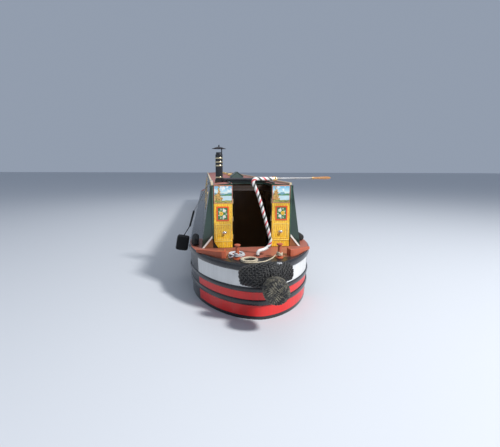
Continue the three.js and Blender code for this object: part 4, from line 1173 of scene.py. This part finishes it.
# %% Chimney
CHIMNEY_R, PIPE_R, WALL, HAT_TOP = 0.066, 0.055, 0.006, 0.136
CHIMNEY_STEPS, HAT_STRIP_TURN = 48, math.radians(-32)
BAND_DROPS = (0.104, 0.173, 0.237, 0.448)
HAT = ((0, 0.076), (0.056, 0.074), (0.112, 0.066), (0.124, 0.063), (0.1245, 0.068), (0.100, 0.074),
       (0.062, 0.089), (0.024, 0.098), (0.009, 0.104), (0.012, 0.119), (0.009, 0.131), (0, 0.1355))
BAND = ((-0.001, -0.012), (0.003, -0.011), (0.005, -0.006), (0.005, 0.006), (0.003, 0.011), (-0.001, 0.012),
        (-0.001, -0.012))
tube_low, tube_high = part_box("chimney")
collar_low, collar_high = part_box("chimney_collar")
tube_top, tube_foot = tube_high.z - HAT_TOP, tube_low.z
foot_down = tube_foot - tube_top
sleeve = ((PIPE_R - WALL, foot_down), (CHIMNEY_R, foot_down), (CHIMNEY_R, -0.050),
          (CHIMNEY_R + 0.003, -0.048), (CHIMNEY_R + 0.003, -0.040), (PIPE_R + 0.002, -0.037),
          (PIPE_R, -0.034), (PIPE_R, 0), (PIPE_R - WALL, 0), (PIPE_R - WALL, foot_down))
collar_middle = (collar_low + collar_high) / 2
chimney_at = Matrix.Translation((collar_middle.x, collar_middle.y, tube_top))
chimney_mesh = bmesh.new()
turned(chimney_mesh, sleeve, chimney_at, CHIMNEY_STEPS)
turned(chimney_mesh, HAT, chimney_at, CHIMNEY_STEPS, 1)
strip_mesh = bmesh.new()
slab(strip_mesh, (PIPE_R - 0.001, -0.019, -0.070), (PIPE_R + 0.003, 0.019, 0.076), 0.001)
bmesh.ops.transform(strip_mesh, matrix=chimney_at @ Matrix.Rotation(HAT_STRIP_TURN, 4, "Z"),
                    verts=strip_mesh.verts)
piece("chimney_hat_strip", strip_mesh, black_paint, "hull")
piece("chimney_pipe", chimney_mesh, (black_paint, hatch_black), "hull", ("chimney",))

bands_mesh = bmesh.new()
for drop in BAND_DROPS:
    turned(bands_mesh, [(CHIMNEY_R + out, up - drop) for out, up in BAND], chimney_at, CHIMNEY_STEPS)
piece("chimney_bands", bands_mesh, pale_brass, "hull")
print("chimney from", round(tube_foot, 3), "to", round(tube_high.z, 3))

# %% [markdown]
# The door backs are the boat's show piece: a small painted view at the top, flowers on a green field below
# it, and a moulded panel with a nickel knob. The view is paint, so it is a material on a thin board with
# its own UVs. A noise makes the edges of hills, clouds and banks wander as brushwork does. The paint goes
# on as a painter works, from the sky forwards: each step covers a part of what is there.

# %% Shared effect: a painted view
view_of, view_in, view_out = group(
    "painted view", [("Seed", "Float", 0.0), ("Shore", "Float", 0.4), ("Tree", "Float", 0.2)],
    [("Color", "Color"), ("Height", "Float")])
SKY = ((0.5, rgb(0.86, 0.80, 0.62)), (0.68, rgb(0.50, 0.72, 0.78)), (1.0, rgb(0.13, 0.42, 0.62)))
MEADOW = ((0.35, rgb(0.20, 0.30, 0.05)), (0.5, rgb(0.55, 0.48, 0.12)), (0.66, rgb(0.70, 0.62, 0.28)))
LEAVES = ((0.38, rgb(0.16, 0.13, 0.04)), (0.47, rgb(0.45, 0.20, 0.05)), (0.55, rgb(0.72, 0.42, 0.12)),
          (0.66, rgb(0.30, 0.34, 0.10)))
BANK = ((0.4, rgb(0.10, 0.18, 0.03)), (0.6, rgb(0.50, 0.40, 0.10)))
right_of, up_to, _ = apart(view_of, coordinates(view_of, "UV"))
spread = node(view_of, "CombineXYZ", {0: right_of, 1: up_to, 2: view_in["Seed"]}).outputs[0]


def brush(scale, detail=3):
    """A brush-like noise over the board, different for each seed."""
    return noise(view_of, spread, scale, detail)


def wander(scale, swing, middle, detail=3):
    """A value that swings about its middle over the board."""
    centred = maths(view_of, "SUBTRACT", brush(scale, detail), 0.5)
    return maths(view_of, "MULTIPLY_ADD", centred, swing, middle)


def over_line(level, swing, scale):
    """A mask that is one below a wandering line, such as a hill's."""
    return maths(view_of, "LESS_THAN", up_to, wander(scale, swing, level))


cloud = maths(view_of, "MULTIPLY", ranged(view_of, brush(5, 5), 0.52, 0.66),
              ranged(view_of, up_to, 0.6, 0.72))
picture = mixed(view_of, cloud, ramp(view_of, up_to, SKY), rgb(0.88, 0.86, 0.78))
picture = mixed(view_of, over_line(0.60, 0.34, 3.2), picture, rgb(0.16, 0.34, 0.40))
picture = mixed(view_of, over_line(0.50, 0.26, 4.4), picture, rgb(0.09, 0.24, 0.09))
picture = mixed(view_of, over_line(0.42, 0.05, 5.0), picture, ramp(view_of, brush(11, 5), MEADOW))
shore_at = maths(view_of, "MULTIPLY_ADD", brush(3), 0.3, right_of)
past_shore = maths(view_of, "GREATER_THAN", shore_at, view_in["Shore"])
gleam = noise(view_of, stretched(view_of, spread, (3, 42, 1)), 1.0, 3)
water = mixed(view_of, gleam, rgb(0.22, 0.48, 0.58), rgb(0.80, 0.86, 0.84))
picture = mixed(view_of, maths(view_of, "MULTIPLY", over_line(0.43, 0.03, 6.0), past_shore), picture, water)
from_trunk = maths(view_of, "ABSOLUTE", maths(view_of, "SUBTRACT", right_of, view_in["Tree"]))
crown = ranged(view_of, up_to, 0.12, 0.94, 0.26, 0.02)
trees = maths(view_of, "LESS_THAN", wander(9, 0.5, from_trunk, 4), crown)
picture = mixed(view_of, trees, picture, ramp(view_of, brush(13, 5), LEAVES))
picture = mixed(view_of, over_line(0.17, 0.16, 3.6), picture, ramp(view_of, brush(16, 5), BANK))
give(view_of, view_out, Color=picture, Height=brush(40))


def view_paint(name, seed, shore, tree_at):
    """One painted view: the seed, the place of the shore and the place of the tree make it its own."""
    made, tree, shader = material(name, Coat_Weight=0.5, Coat_Roughness=0.08, Roughness=0.35)
    look_of = use(tree, view_of, Seed=seed, Shore=shore, Tree=tree_at)
    feed(tree, shader, Base_Color=look_of["Color"], Height=(look_of["Height"], 0.0006))
    return made


print("painted view ready")

# %% [markdown]
# Frames and boards on the doors come from one helper each. A frame starts as a flat quad: inset_individual
# cuts the ring, the middle is deleted, and the ring is pushed out and softened. It lies on the door's after
# face. The window rims start from a round outline in the same way.

# %% Helpers for door work
def raised_ring(mesh, face, width, push, bevel, index=0):
    """Cuts a ring from a face, drops the middle, pushes the ring out and softens its raised edges."""
    ring = bmesh.ops.inset_individual(mesh, faces=[face], thickness=width)["faces"]
    bmesh.ops.delete(mesh, geom=[face], context="FACES_ONLY")
    grown = bmesh.ops.extrude_face_region(mesh, geom=ring, use_keep_orig=True)["geom"]
    top = {v for v in grown if isinstance(v, bmesh.types.BMVert)}
    bmesh.ops.translate(mesh, vec=push, verts=list(top))
    coloured([*top, *(v for f in ring for v in f.verts)], index)
    raised = [e for e in {e for v in top for e in v.link_edges} if set(e.verts) <= top and not e.is_boundary
              and any(not set(f.verts) <= top for f in e.link_faces)]
    softened(mesh, raised, bevel)


def framed(mesh, across, height, y, width, proud, index=0, bevel=0.002):
    """A raised rectangular frame on the door, facing astern, between two pairs of edges."""
    (x0, x1), (z0, z1) = across, height
    quad = mesh.faces.new([mesh.verts.new(p) for p in ((x0, y, z0), (x1, y, z0), (x1, y, z1), (x0, y, z1))])
    quad.normal_update()
    raised_ring(mesh, quad, width, (0, -proud, 0), bevel, index)


def board(mesh, across, height, y, proud):
    """A thin painted board on the door, with UVs that run once across and once up its face."""
    layer = mesh.loops.layers.uv.verify()
    before = len(mesh.faces)
    slab(mesh, (across[0], y - proud, height[0]), (across[1], y, height[1]))
    mesh.faces.ensure_lookup_table()
    for face in mesh.faces[before:]:
        for loop in face.loops:
            loop[layer].uv = ((loop.vert.co.x - across[0]) / (across[1] - across[0]),
                              (loop.vert.co.z - height[0]) / (height[1] - height[0]))


def dome(mesh, place, size, index):
    """A small ball squeezed to three half sizes."""
    place = place @ Matrix.Diagonal((*size, 1))
    coloured(bmesh.ops.create_icosphere(mesh, subdivisions=2, radius=1, matrix=place)["verts"], index)


def petal(mesh, at, turn, reach, width, lift, index):
    """One brush-stroke petal: a small dome, drawn out and turned in the plane of the door."""
    place = Matrix.Translation(at) @ Matrix.Rotation(turn, 4, "Y") @ Matrix.Translation((0, 0, reach * 0.55))
    dome(mesh, place, (width / 2, lift, reach / 2), index)


print("door helpers ready")

# %% [markdown]
# A flower panel is a raised orange-red frame round a green field, with three small flowers and a ring of
# leaf strokes. Each petal and leaf is a low dome, as a loaded brush leaves it, so one short helper draws
# them all. `way` is -1 on the port door and 1 on the starboard one, which mirrors the sprig.

# %% Flowers on the doors
FLOWER_Z, FLOWER_HALF, FLOWER_EDGE = (1.870, 2.110), 0.101, 0.033
RELIEF, EDGE_PROUD, FIELD_IN = 0.0015, 0.004, 0.001
leaf_green = painted("leaf green", rgb(0.03, 0.17, 0.05), rgb(0.05, 0.10, 0.03), 0.3, 0.3, 0.0005, 0.3)
pale_green = painted("pale leaf green", rgb(0.30, 0.48, 0.18), rgb(0.2, 0.3, 0.1), 0.3, 0.3, 0.0005, 0.3)
petal_yellow = painted("petal yellow", rgb(0.85, 0.58, 0.05), rgb(0.5, 0.3, 0.05), 0.3, 0.3, 0.0005, 0.3)
orange_red = painted("orange red", rgb(0.80, 0.095, 0.012), rgb(0.4, 0.06, 0.02), 0.3, 0.22, 0.0005, 0.4)
FLOWER_PAINTS = [leaf_green, orange_red, white_paint, petal_yellow, bright_red, pale_green]
# Places of the paints in that list. The first one, at 0, is the field.
EDGE, WHITE, YELLOW, RED, PALE = range(1, 6)
FLOWERS = (((-0.026, 0.048), 0.031, 7, WHITE, YELLOW), ((0.024, 0.002), 0.039, 8, YELLOW, RED),
           ((-0.024, -0.046), 0.032, 6, WHITE, YELLOW))
PETAL_LIFT, HEART_LIFT, LEAF_LIFT = 0.0016, 0.0032, 0.0010
STROKES, STROKE_SHIFT, STROKE_WIDE, STROKE_LONG = 18, 0.35, 0.012, (0.024, 0.034)
LEAF_RING_X, LEAF_RING_Z = 0.040, 0.062


def flower_panel(name, x, y, body, way):
    """A raised orange-red frame around a green field with a sprig of three small flowers and leaves."""
    mesh = bmesh.new()
    z0, z1 = FLOWER_Z
    slab(mesh, (x - FLOWER_HALF + FIELD_IN, y - RELIEF, z0 + FIELD_IN),
         (x + FLOWER_HALF - FIELD_IN, y, z1 - FIELD_IN))
    framed(mesh, (x - FLOWER_HALF, x + FLOWER_HALF), (z0, z1), y - RELIEF, FLOWER_EDGE, EDGE_PROUD, EDGE)
    middle = Vector((x, y - RELIEF, (z0 + z1) / 2))
    for place, size, petals, tint, heart in FLOWERS:
        at = middle + Vector((place[0] * way, 0, place[1]))
        for k in range(petals):
            petal(mesh, at, math.tau * k / petals + way, size * 0.9, size * 0.6, PETAL_LIFT, tint)
        dome(mesh, Matrix.Translation(at), (size * 0.3, HEART_LIFT, size * 0.3), heart)
    for k in range(STROKES):
        turn = math.tau * (k + STROKE_SHIFT) / STROKES * way
        at = middle + Vector((math.sin(turn) * LEAF_RING_X, 0, math.cos(turn) * LEAF_RING_Z))
        petal(mesh, at, turn, STROKE_LONG[k % 2], STROKE_WIDE, LEAF_LIFT, WHITE if k % 2 else PALE)
    piece(name, mesh, FLOWER_PAINTS, body)


print("flowers on each door:", len(FLOWERS), "and", STROKES, "leaf strokes")

# %% [markdown]
# One loop dresses both doors, each with a painted view of its own. Below the flowers come the mouldings, a
# rail with three upright ribs under it, and the knob on its oval plate. The hinge pins stand on the axis
# that the door turns about. Heights are above the boat's flat bottom.

# %% Rear doors
VIEW_LOW, VIEW_SIDE, VIEW_TOP, BEAD, BEAD_IN = 2.165, 0.006, 0.012, 0.012, 0.001
PANEL_Z, PANEL_IN, MOULDING, MOULDING_STEP = (1.562, 1.821), 0.026, 0.011, 0.017
MOULDING_PROUD, INNER_MOULDING, INNER_PROUD, FINE = 0.006, 0.004, 0.002, 0.001
RAIL_Z, RAIL_IN, RAIL_PROUD = (1.530, 1.544), 0.004, 0.007
RIB_APART, RIB_HALF, RIB_TOP, RIB_UP, RIB_PROUD = 0.062, 0.003, 1.518, 0.012, 0.003
KNOB_Z, KNOB_SHIFT, PLATE_STRETCH = 1.680, {-1: 0.020, 1: 0.0}, 1.8
PLATE_PROFILE = ((0, 0), (0.020, 0), (0.021, 0.002), (0.019, 0.003), (0, 0.003))
KNOB_PROFILE = ((0, 0), (0.013, 0), (0.012, 0.004), (0.008, 0.008), (0.008, 0.016), (0.018, 0.021),
                (0.023, 0.030), (0.019, 0.038), (0.010, 0.043), (0, 0.0435))
HINGE_AXIS, HINGE_Z = (0.318, -7.663), (1.60, 1.90, 2.19)
HINGE_HALF = ((0.006, 0.012), (0.0068, 0.013), (0.0068, 0.037), (0.005, 0.038), (0.004, 0.042), (0, 0.044))
HINGE_PROFILE = [*((r, -h) for r, h in reversed(HINGE_HALF)), (0.0068, -0.011), (0.0068, 0.011), *HINGE_HALF]
VIEWS = {"port": (1.7, 0.50, 0.24), "starboard": (6.3, 0.40, 0.20)}
dull_pink = painted("dull pink edge", rgb(0.58, 0.20, 0.18), rgb(0.36, 0.15, 0.13), 0.3, 0.3, 0.0005, 0.2)


def door_mouldings(low, high, x, y):
    """The moulded panel, the rail below it and the ribs on the foot of a door."""
    mesh = bmesh.new()
    left, right_edge = low.x + PANEL_IN, high.x - PANEL_IN
    framed(mesh, (left, right_edge), PANEL_Z, y, MOULDING, MOULDING_PROUD)
    framed(mesh, (left + MOULDING_STEP, right_edge - MOULDING_STEP),
           (PANEL_Z[0] + MOULDING_STEP, PANEL_Z[1] - MOULDING_STEP), y, INNER_MOULDING, INNER_PROUD, 0, FINE)
    slab(mesh, (low.x + RAIL_IN, y - RAIL_PROUD, RAIL_Z[0]), (high.x - RAIL_IN, y, RAIL_Z[1]), 0.002)
    for k in (-1, 0, 1):
        rib_x = x + RIB_APART * k
        slab(mesh, (rib_x - RIB_HALF, y - RIB_PROUD, low.z + RIB_UP), (rib_x + RIB_HALF, y, RIB_TOP), FINE)
    return mesh


for side, way, hand in SIDES:
    body = f"rear_door_{hand}"
    low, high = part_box(f"rear_door_{side}")
    y, x = low.y, (low.x + high.x) / 2
    art_mesh = bmesh.new()
    board(art_mesh, (low.x + VIEW_SIDE, high.x - VIEW_SIDE), (VIEW_LOW, high.z - VIEW_TOP), y, RELIEF)
    art = view_paint(f"painted view {side}", *VIEWS[side])
    piece(f"door_view_{side}", art_mesh, art, body)
    edge_mesh = bmesh.new()
    framed(edge_mesh, (low.x + BEAD_IN, high.x - BEAD_IN), (VIEW_LOW - 0.004, high.z - BEAD_IN), y, BEAD,
           EDGE_PROUD, 0, FINE)
    piece(f"door_view_bead_{side}", edge_mesh, dull_pink, body)
    flower_panel(f"door_flower_{side}", x + 0.010 * way, y, body, way)
    piece(f"door_mouldings_{side}", door_mouldings(low, high, x, y), scumble, body)
    knob_mesh = bmesh.new()
    knob_at = aimed((x + KNOB_SHIFT[way], y, KNOB_Z), (0, -1, 0))
    turned(knob_mesh, PLATE_PROFILE, knob_at @ Matrix.Diagonal((PLATE_STRETCH, 1, 1, 1)), 28)
    turned(knob_mesh, KNOB_PROFILE, knob_at, 28)
    piece(f"door_knob_{side}", knob_mesh, nickel, body)
    hinge_mesh = bmesh.new()
    for z in HINGE_Z:
        turned(hinge_mesh, HINGE_PROFILE, Matrix.Translation((way * HINGE_AXIS[0], HINGE_AXIS[1], z)), 16)
    piece(f"door_hinges_{side}", hinge_mesh, pale_brass, body)
    print(side, "door dressed, face at Y", round(y, 3))

# %% [markdown]
# The after bulkhead carries a green batten beside each open door, and a brown corner plate with a white
# edge where the wall meets the deck. Flat shapes like the plate start as one face that is pushed out to its
# thickness. A wooden beam crosses the cabin under the roof, some way ahead of the doorway. Its wood is
# painted far darker than varnish, as painted shade where the beam lies under the roof.

# %% Bulkhead trim
BULKHEAD = ahead(1.045)
BATTEN_X, BATTEN_Z, BATTEN_THICK = (0.634, 0.656), (1.570, 2.432), 0.022
KNEE, KNEE_THICK = ((0.646, 1.605), (0.646, 1.424), (0.800, 1.424)), 0.006
KNEE_EDGE, KNEE_EDGE_THICK = ((0.636, 1.613), (0.792, 1.421), (0.826, 1.421), (0.657, 1.630)), 0.016
BEAM_X, BEAM_AHEAD, BEAM_Z = 0.60, (1.757, 1.787), (2.310, 2.408)


def plate(mesh, outline, y0, y1, index=0):
    """A flat plate across the boat: an outline of (x, z) points, pushed from y0 to y1."""
    face = mesh.faces.new([mesh.verts.new((x, y0, z)) for x, z in outline])
    grown = bmesh.ops.extrude_face_region(mesh, geom=[face], use_keep_orig=True)["geom"]
    top = [v for v in grown if isinstance(v, bmesh.types.BMVert)]
    bmesh.ops.translate(mesh, vec=(0, y1 - y0, 0), verts=top)
    coloured([*top, *face.verts], index)


edge_white = painted("edge white", rgb(0.94, 0.93, 0.86), rgb(0.70, 0.67, 0.60), 0.15, 0.35, 0.0005)
knee_brown = painted("knee brown", rgb(0.30, 0.12, 0.045), rgb(0.15, 0.08, 0.05), 0.4, 0.35)
trim_mesh, knee_mesh, beam_mesh = bmesh.new(), bmesh.new(), bmesh.new()
for _, way, _ in SIDES:
    near, far = sorted(way * x for x in BATTEN_X)
    slab(trim_mesh, (near, BULKHEAD - BATTEN_THICK, BATTEN_Z[0]), (far, BULKHEAD, BATTEN_Z[1]), 0.003)
    plate(knee_mesh, [(way * x, z) for x, z in KNEE], BULKHEAD, BULKHEAD - KNEE_THICK, 0)
    plate(knee_mesh, [(way * x, z) for x, z in KNEE_EDGE], BULKHEAD, BULKHEAD - KNEE_EDGE_THICK, 1)
slab(beam_mesh, (-BEAM_X, ahead(BEAM_AHEAD[0]), BEAM_Z[0]), (BEAM_X, ahead(BEAM_AHEAD[1]), BEAM_Z[1]), 0.003)
piece("door_battens", trim_mesh, batten_green, "hull")
piece("corner_knees", knee_mesh, (knee_brown, edge_white), "hull")
piece("hatch_beam", beam_mesh, beam_wood_painted_shade, "hull")
print("bulkhead at Y", round(BULKHEAD, 3))

# %% [markdown]
# The hanging fender's line is taut: a pale rope with two turns round the handrail runs down to a black
# rubber strap, and a thin black cord goes from the strap to the fender's top.

# %% Fender line
LINE_AHEAD, CORD_R = 2.15, 0.008
RAIL_HITCH, STRAP_TOP, STRAP_FOOT = (-0.672, 2.482), (-0.992, 1.888), (-1.068, 1.612)
RAIL_MIDDLE, RAIL_TURN_X, RAIL_TURN_Z, RAIL_TURN_STEP = (-0.650, 2.444), 0.029, 0.051, 0.010
STRAP_WIDE, STRAP_THICK, STRAP_OVER = 0.040, 0.036, 0.03
rail_at, strap_top, strap_foot = (Vector((x, ahead(LINE_AHEAD), z))
                                  for x, z in (RAIL_HITCH, STRAP_TOP, STRAP_FOOT))
fender_top = block_middle + Matrix.Rotation(BLOCK_LEAN, 3, "Y") @ Vector((0, 0, BLOCK_TALL / 2 + 0.002))
line_mesh = bmesh.new()
swept(line_mesh, straight(rail_at, strap_top, 40), CORD_R)
rail_turns = [Vector((RAIL_MIDDLE[0] + RAIL_TURN_X * math.cos(a),
                      ahead(LINE_AHEAD) + RAIL_TURN_STEP * (a / math.tau - 1),
                      RAIL_MIDDLE[1] + RAIL_TURN_Z * math.sin(a)))
              for a in (i * math.tau / 24 for i in range(49))]
swept(line_mesh, rail_turns, CORD_R)
piece("fender_rope_pale", line_mesh, white_rope, "hull")
strap_mesh = bmesh.new()
run = strap_foot - strap_top
bmesh.ops.create_cube(strap_mesh, size=1, matrix=aimed((strap_top + strap_foot) / 2, run)
                      @ Matrix.Diagonal((STRAP_WIDE, STRAP_THICK, run.length + STRAP_OVER, 1)))
softened(strap_mesh, list(strap_mesh.edges), 0.004)
swept(strap_mesh, straight(strap_foot, fender_top, 8), CORD_R, 8)
piece("fender_strap", strap_mesh, black_rope, "hull")
print("fender line", round(path_length([rail_at, strap_top, strap_foot, fender_top]), 3), "m")

# %% [markdown]
# Every window and porthole has a polished rim that lies on the leaning cabin side. A rim starts as the
# outline of the opening and is cut and pushed out like the door frames. Windows have a bar across,
# portholes have bolts.

# %% Window rims
CABIN_FOOT, CABIN_SLOPE = 0.834, 0.154 / 1.020
SIDE_LEAN = math.atan(CABIN_SLOPE)
RIM, RIM_PROUD, RIM_CLEAR, WINDOW_CORNER = 0.026, 0.008, 0.0005, 0.07
BOLTS, BOLT = 8, ((0, 0), (0.006, 0), (0.005, 0.003), (0, 0.0035))
BAR_UP, BAR_WIDE, BAR_THICK = 0.18, 0.018, 0.010


def on_cabin_side(way, y, z, proud=0.0):
    """A place on a cabin side: X runs along the boat, Y up the side, and Z points out of the boat."""
    outwards = Vector((way * math.cos(SIDE_LEAN), 0, math.sin(SIDE_LEAN)))
    upwards = Vector((-way * math.sin(SIDE_LEAN), 0, math.cos(SIDE_LEAN)))
    at = Vector((way * (CABIN_FOOT - CABIN_SLOPE * (z - DECK)), y, z)) + outwards * proud
    return axes_at(upwards.cross(outwards), upwards, outwards, at)


def rounded(width, height, corner, steps=8):
    """Outline of a rectangle with round corners, or of a disc when the corner is half the width."""
    points = []
    straight_sides = corner < min(width, height) / 2 - JOIN
    for k, (sx, sy) in enumerate(((1, 1), (-1, 1), (-1, -1), (1, -1))):
        for i in range(steps + straight_sides):
            a = math.pi / 2 * (k + i / steps)
            points.append((sx * (width / 2 - corner) + corner * math.cos(a),
                           sy * (height / 2 - corner) + corner * math.sin(a)))
    return points


def rim(mesh, outline, place):
    """A raised ring inside an outline, in a plane of its own."""
    face = mesh.faces.new([mesh.verts.new(place @ Vector((x, y, 0))) for x, y in outline])
    face.normal_update()
    raised_ring(mesh, face, RIM, place.to_3x3() @ Vector((0, 0, RIM_PROUD)), RIM_PROUD * 0.35)


for side, way, _ in SIDES:
    rims_mesh = bmesh.new()
    for name in OPENINGS:
        low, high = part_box(f"{name}_{side}")
        round_one = name == "porthole"
        long, tall = high.y - low.y, (high.z - low.z) / math.cos(SIDE_LEAN)
        place = on_cabin_side(way, (low.y + high.y) / 2, (low.z + high.z) / 2, RIM_CLEAR)
        corner = RIM + (long / 2 if round_one else WINDOW_CORNER)
        rim(rims_mesh, rounded(long + 2 * RIM, (long if round_one else tall) + 2 * RIM, corner), place)
        if round_one:
            for a in (math.tau * (k + 0.5) / BOLTS for k in range(BOLTS)):
                arm = corner - RIM / 2
                at = place @ Vector((arm * math.cos(a), arm * math.sin(a), RIM_PROUD - 0.001))
                turned(rims_mesh, BOLT, aimed(at, place.col[2].xyz), 10)
        else:
            bar_at = place @ Matrix.Translation((0, tall * BAR_UP, -0.004))
            bar_size = Matrix.Diagonal((long, BAR_WIDE, BAR_THICK, 1))
            bmesh.ops.create_cube(rims_mesh, size=1, matrix=bar_at @ bar_size)
    piece(f"window_rims_{side}", rims_mesh, brass, "hull")
print("rims on", [side for side, _, _ in SIDES])

# %% [markdown]
# The small roof and deck fittings: three more mushroom vents, brass filler caps on the side decks, a bright
# rim and a glass for the headlamp, and a black strip with a pull on the after edge of the sliding hatch.

# %% Roof and deck fittings
VENTS_AHEAD, VENT_Z = (6.2, 10.9, 13.2), 2.484
VENT = ((0, 0), (0.075, 0), (0.075, 0.006), (0.070, 0.009), (0.070, 0.036), (0.096, 0.036), (0.097, 0.046),
        (0.090, 0.056), (0.060, 0.072), (0.025, 0.079), (0.010, 0.080), (0, 0.080))
FILLERS = ((-0.925, 9.4), (0.925, 4.2), (0.925, 9.9))
FILLER_CAP = ((0, 0), (0.036, 0), (0.036, 0.004), (0.030, 0.007), (0.010, 0.007), (0.010, 0.003), (0, 0.003))
LAMP_DROP, LAMP_BACK = 0.090, 0.002
LAMP_RIM = ((0.074, -0.004), (0.088, -0.010), (0.0925, -0.008), (0.0930, 0.001), (0.088, 0.006),
            (0.076, 0.004), (0.074, -0.004))
LAMP_GLASS = ((0, -0.002), (0.0765, -0.002), (0.0765, 0.001), (0.058, 0.005), (0.030, 0.0075), (0, 0.008))
STRIP_IN, STRIP_UP, STRIP_DOWN, STRIP_PROUD = 0.03, 0.030, 0.008, 0.004
PULL = ((0, 0), (0.016, 0), (0.016, 0.003), (0.007, 0.005), (0.006, 0.014), (0.012, 0.019), (0.013, 0.024),
        (0.008, 0.028), (0, 0.029))

fittings_mesh = bmesh.new()
for distance in VENTS_AHEAD:
    turned(fittings_mesh, VENT, Matrix.Translation((0, ahead(distance), VENT_Z)), 36)
for x, distance in FILLERS:
    turned(fittings_mesh, FILLER_CAP, Matrix.Translation((x, ahead(distance), DECK)), 28)
piece("roof_and_deck_brass", fittings_mesh, brass, "hull")

_, lamp_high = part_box("headlamp")
lamp_front = aimed((0, lamp_high.y - LAMP_BACK, lamp_high.z - LAMP_DROP), (0, 1, 0))
rim_mesh, lens_mesh = bmesh.new(), bmesh.new()
turned(rim_mesh, LAMP_RIM, lamp_front, 40)
piece("headlamp_rim", rim_mesh, nickel, "hull")
turned(lens_mesh, LAMP_GLASS, lamp_front, 40)
piece("headlamp_glass", lens_mesh, glass, "hull")

hatch_low, hatch_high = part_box("sliding_hatch")
strip_mesh = bmesh.new()
slab(strip_mesh, (hatch_low.x + STRIP_IN, hatch_low.y - STRIP_PROUD, hatch_low.z + STRIP_UP),
     (hatch_high.x - STRIP_IN, hatch_low.y, hatch_high.z - STRIP_DOWN), 0.0012)
turned(strip_mesh, PULL, aimed((0, hatch_low.y - 0.003, hatch_low.z + 0.031), (0, -1, 0)), 24)
piece("hatch_strip", strip_mesh, hatch_black, "hatch")
print("headlamp front at Y", round(lamp_high.y, 3), "hatch after edge at Y", round(hatch_low.y, 3))

# %% [markdown]
# The front doors match the rear ones in a plainer way: two moulded panels each, on the side that faces the
# well.

# %% Front doors
FRONT_IN, FRONT_PANELS = 0.035, (0.05, 0.52, 0.60)
for side, _, hand in SIDES:
    low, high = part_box(f"front_door_{side}")
    doors_mesh = bmesh.new()
    foot, middle_top, middle_foot = (low.z + up_by for up_by in FRONT_PANELS)
    for bottom, top in ((foot, middle_top), (middle_foot, high.z - FRONT_PANELS[0])):
        framed(doors_mesh, (low.x + FRONT_IN, high.x - FRONT_IN), (bottom, top), high.y, 0.016, 0.007)
    middle = Vector(((low.x + high.x) / 2, high.y, 0))
    bmesh.ops.rotate(doors_mesh, cent=middle, matrix=Matrix.Rotation(math.pi, 3, "Z"), verts=doors_mesh.verts)
    piece(f"front_door_mouldings_{side}", doors_mesh, scumble, f"front_door_{hand}")
print("front doors dressed")

# %% [markdown]
# Last, the view layer is brought up to date.

# %% End
bpy.context.view_layer.update()
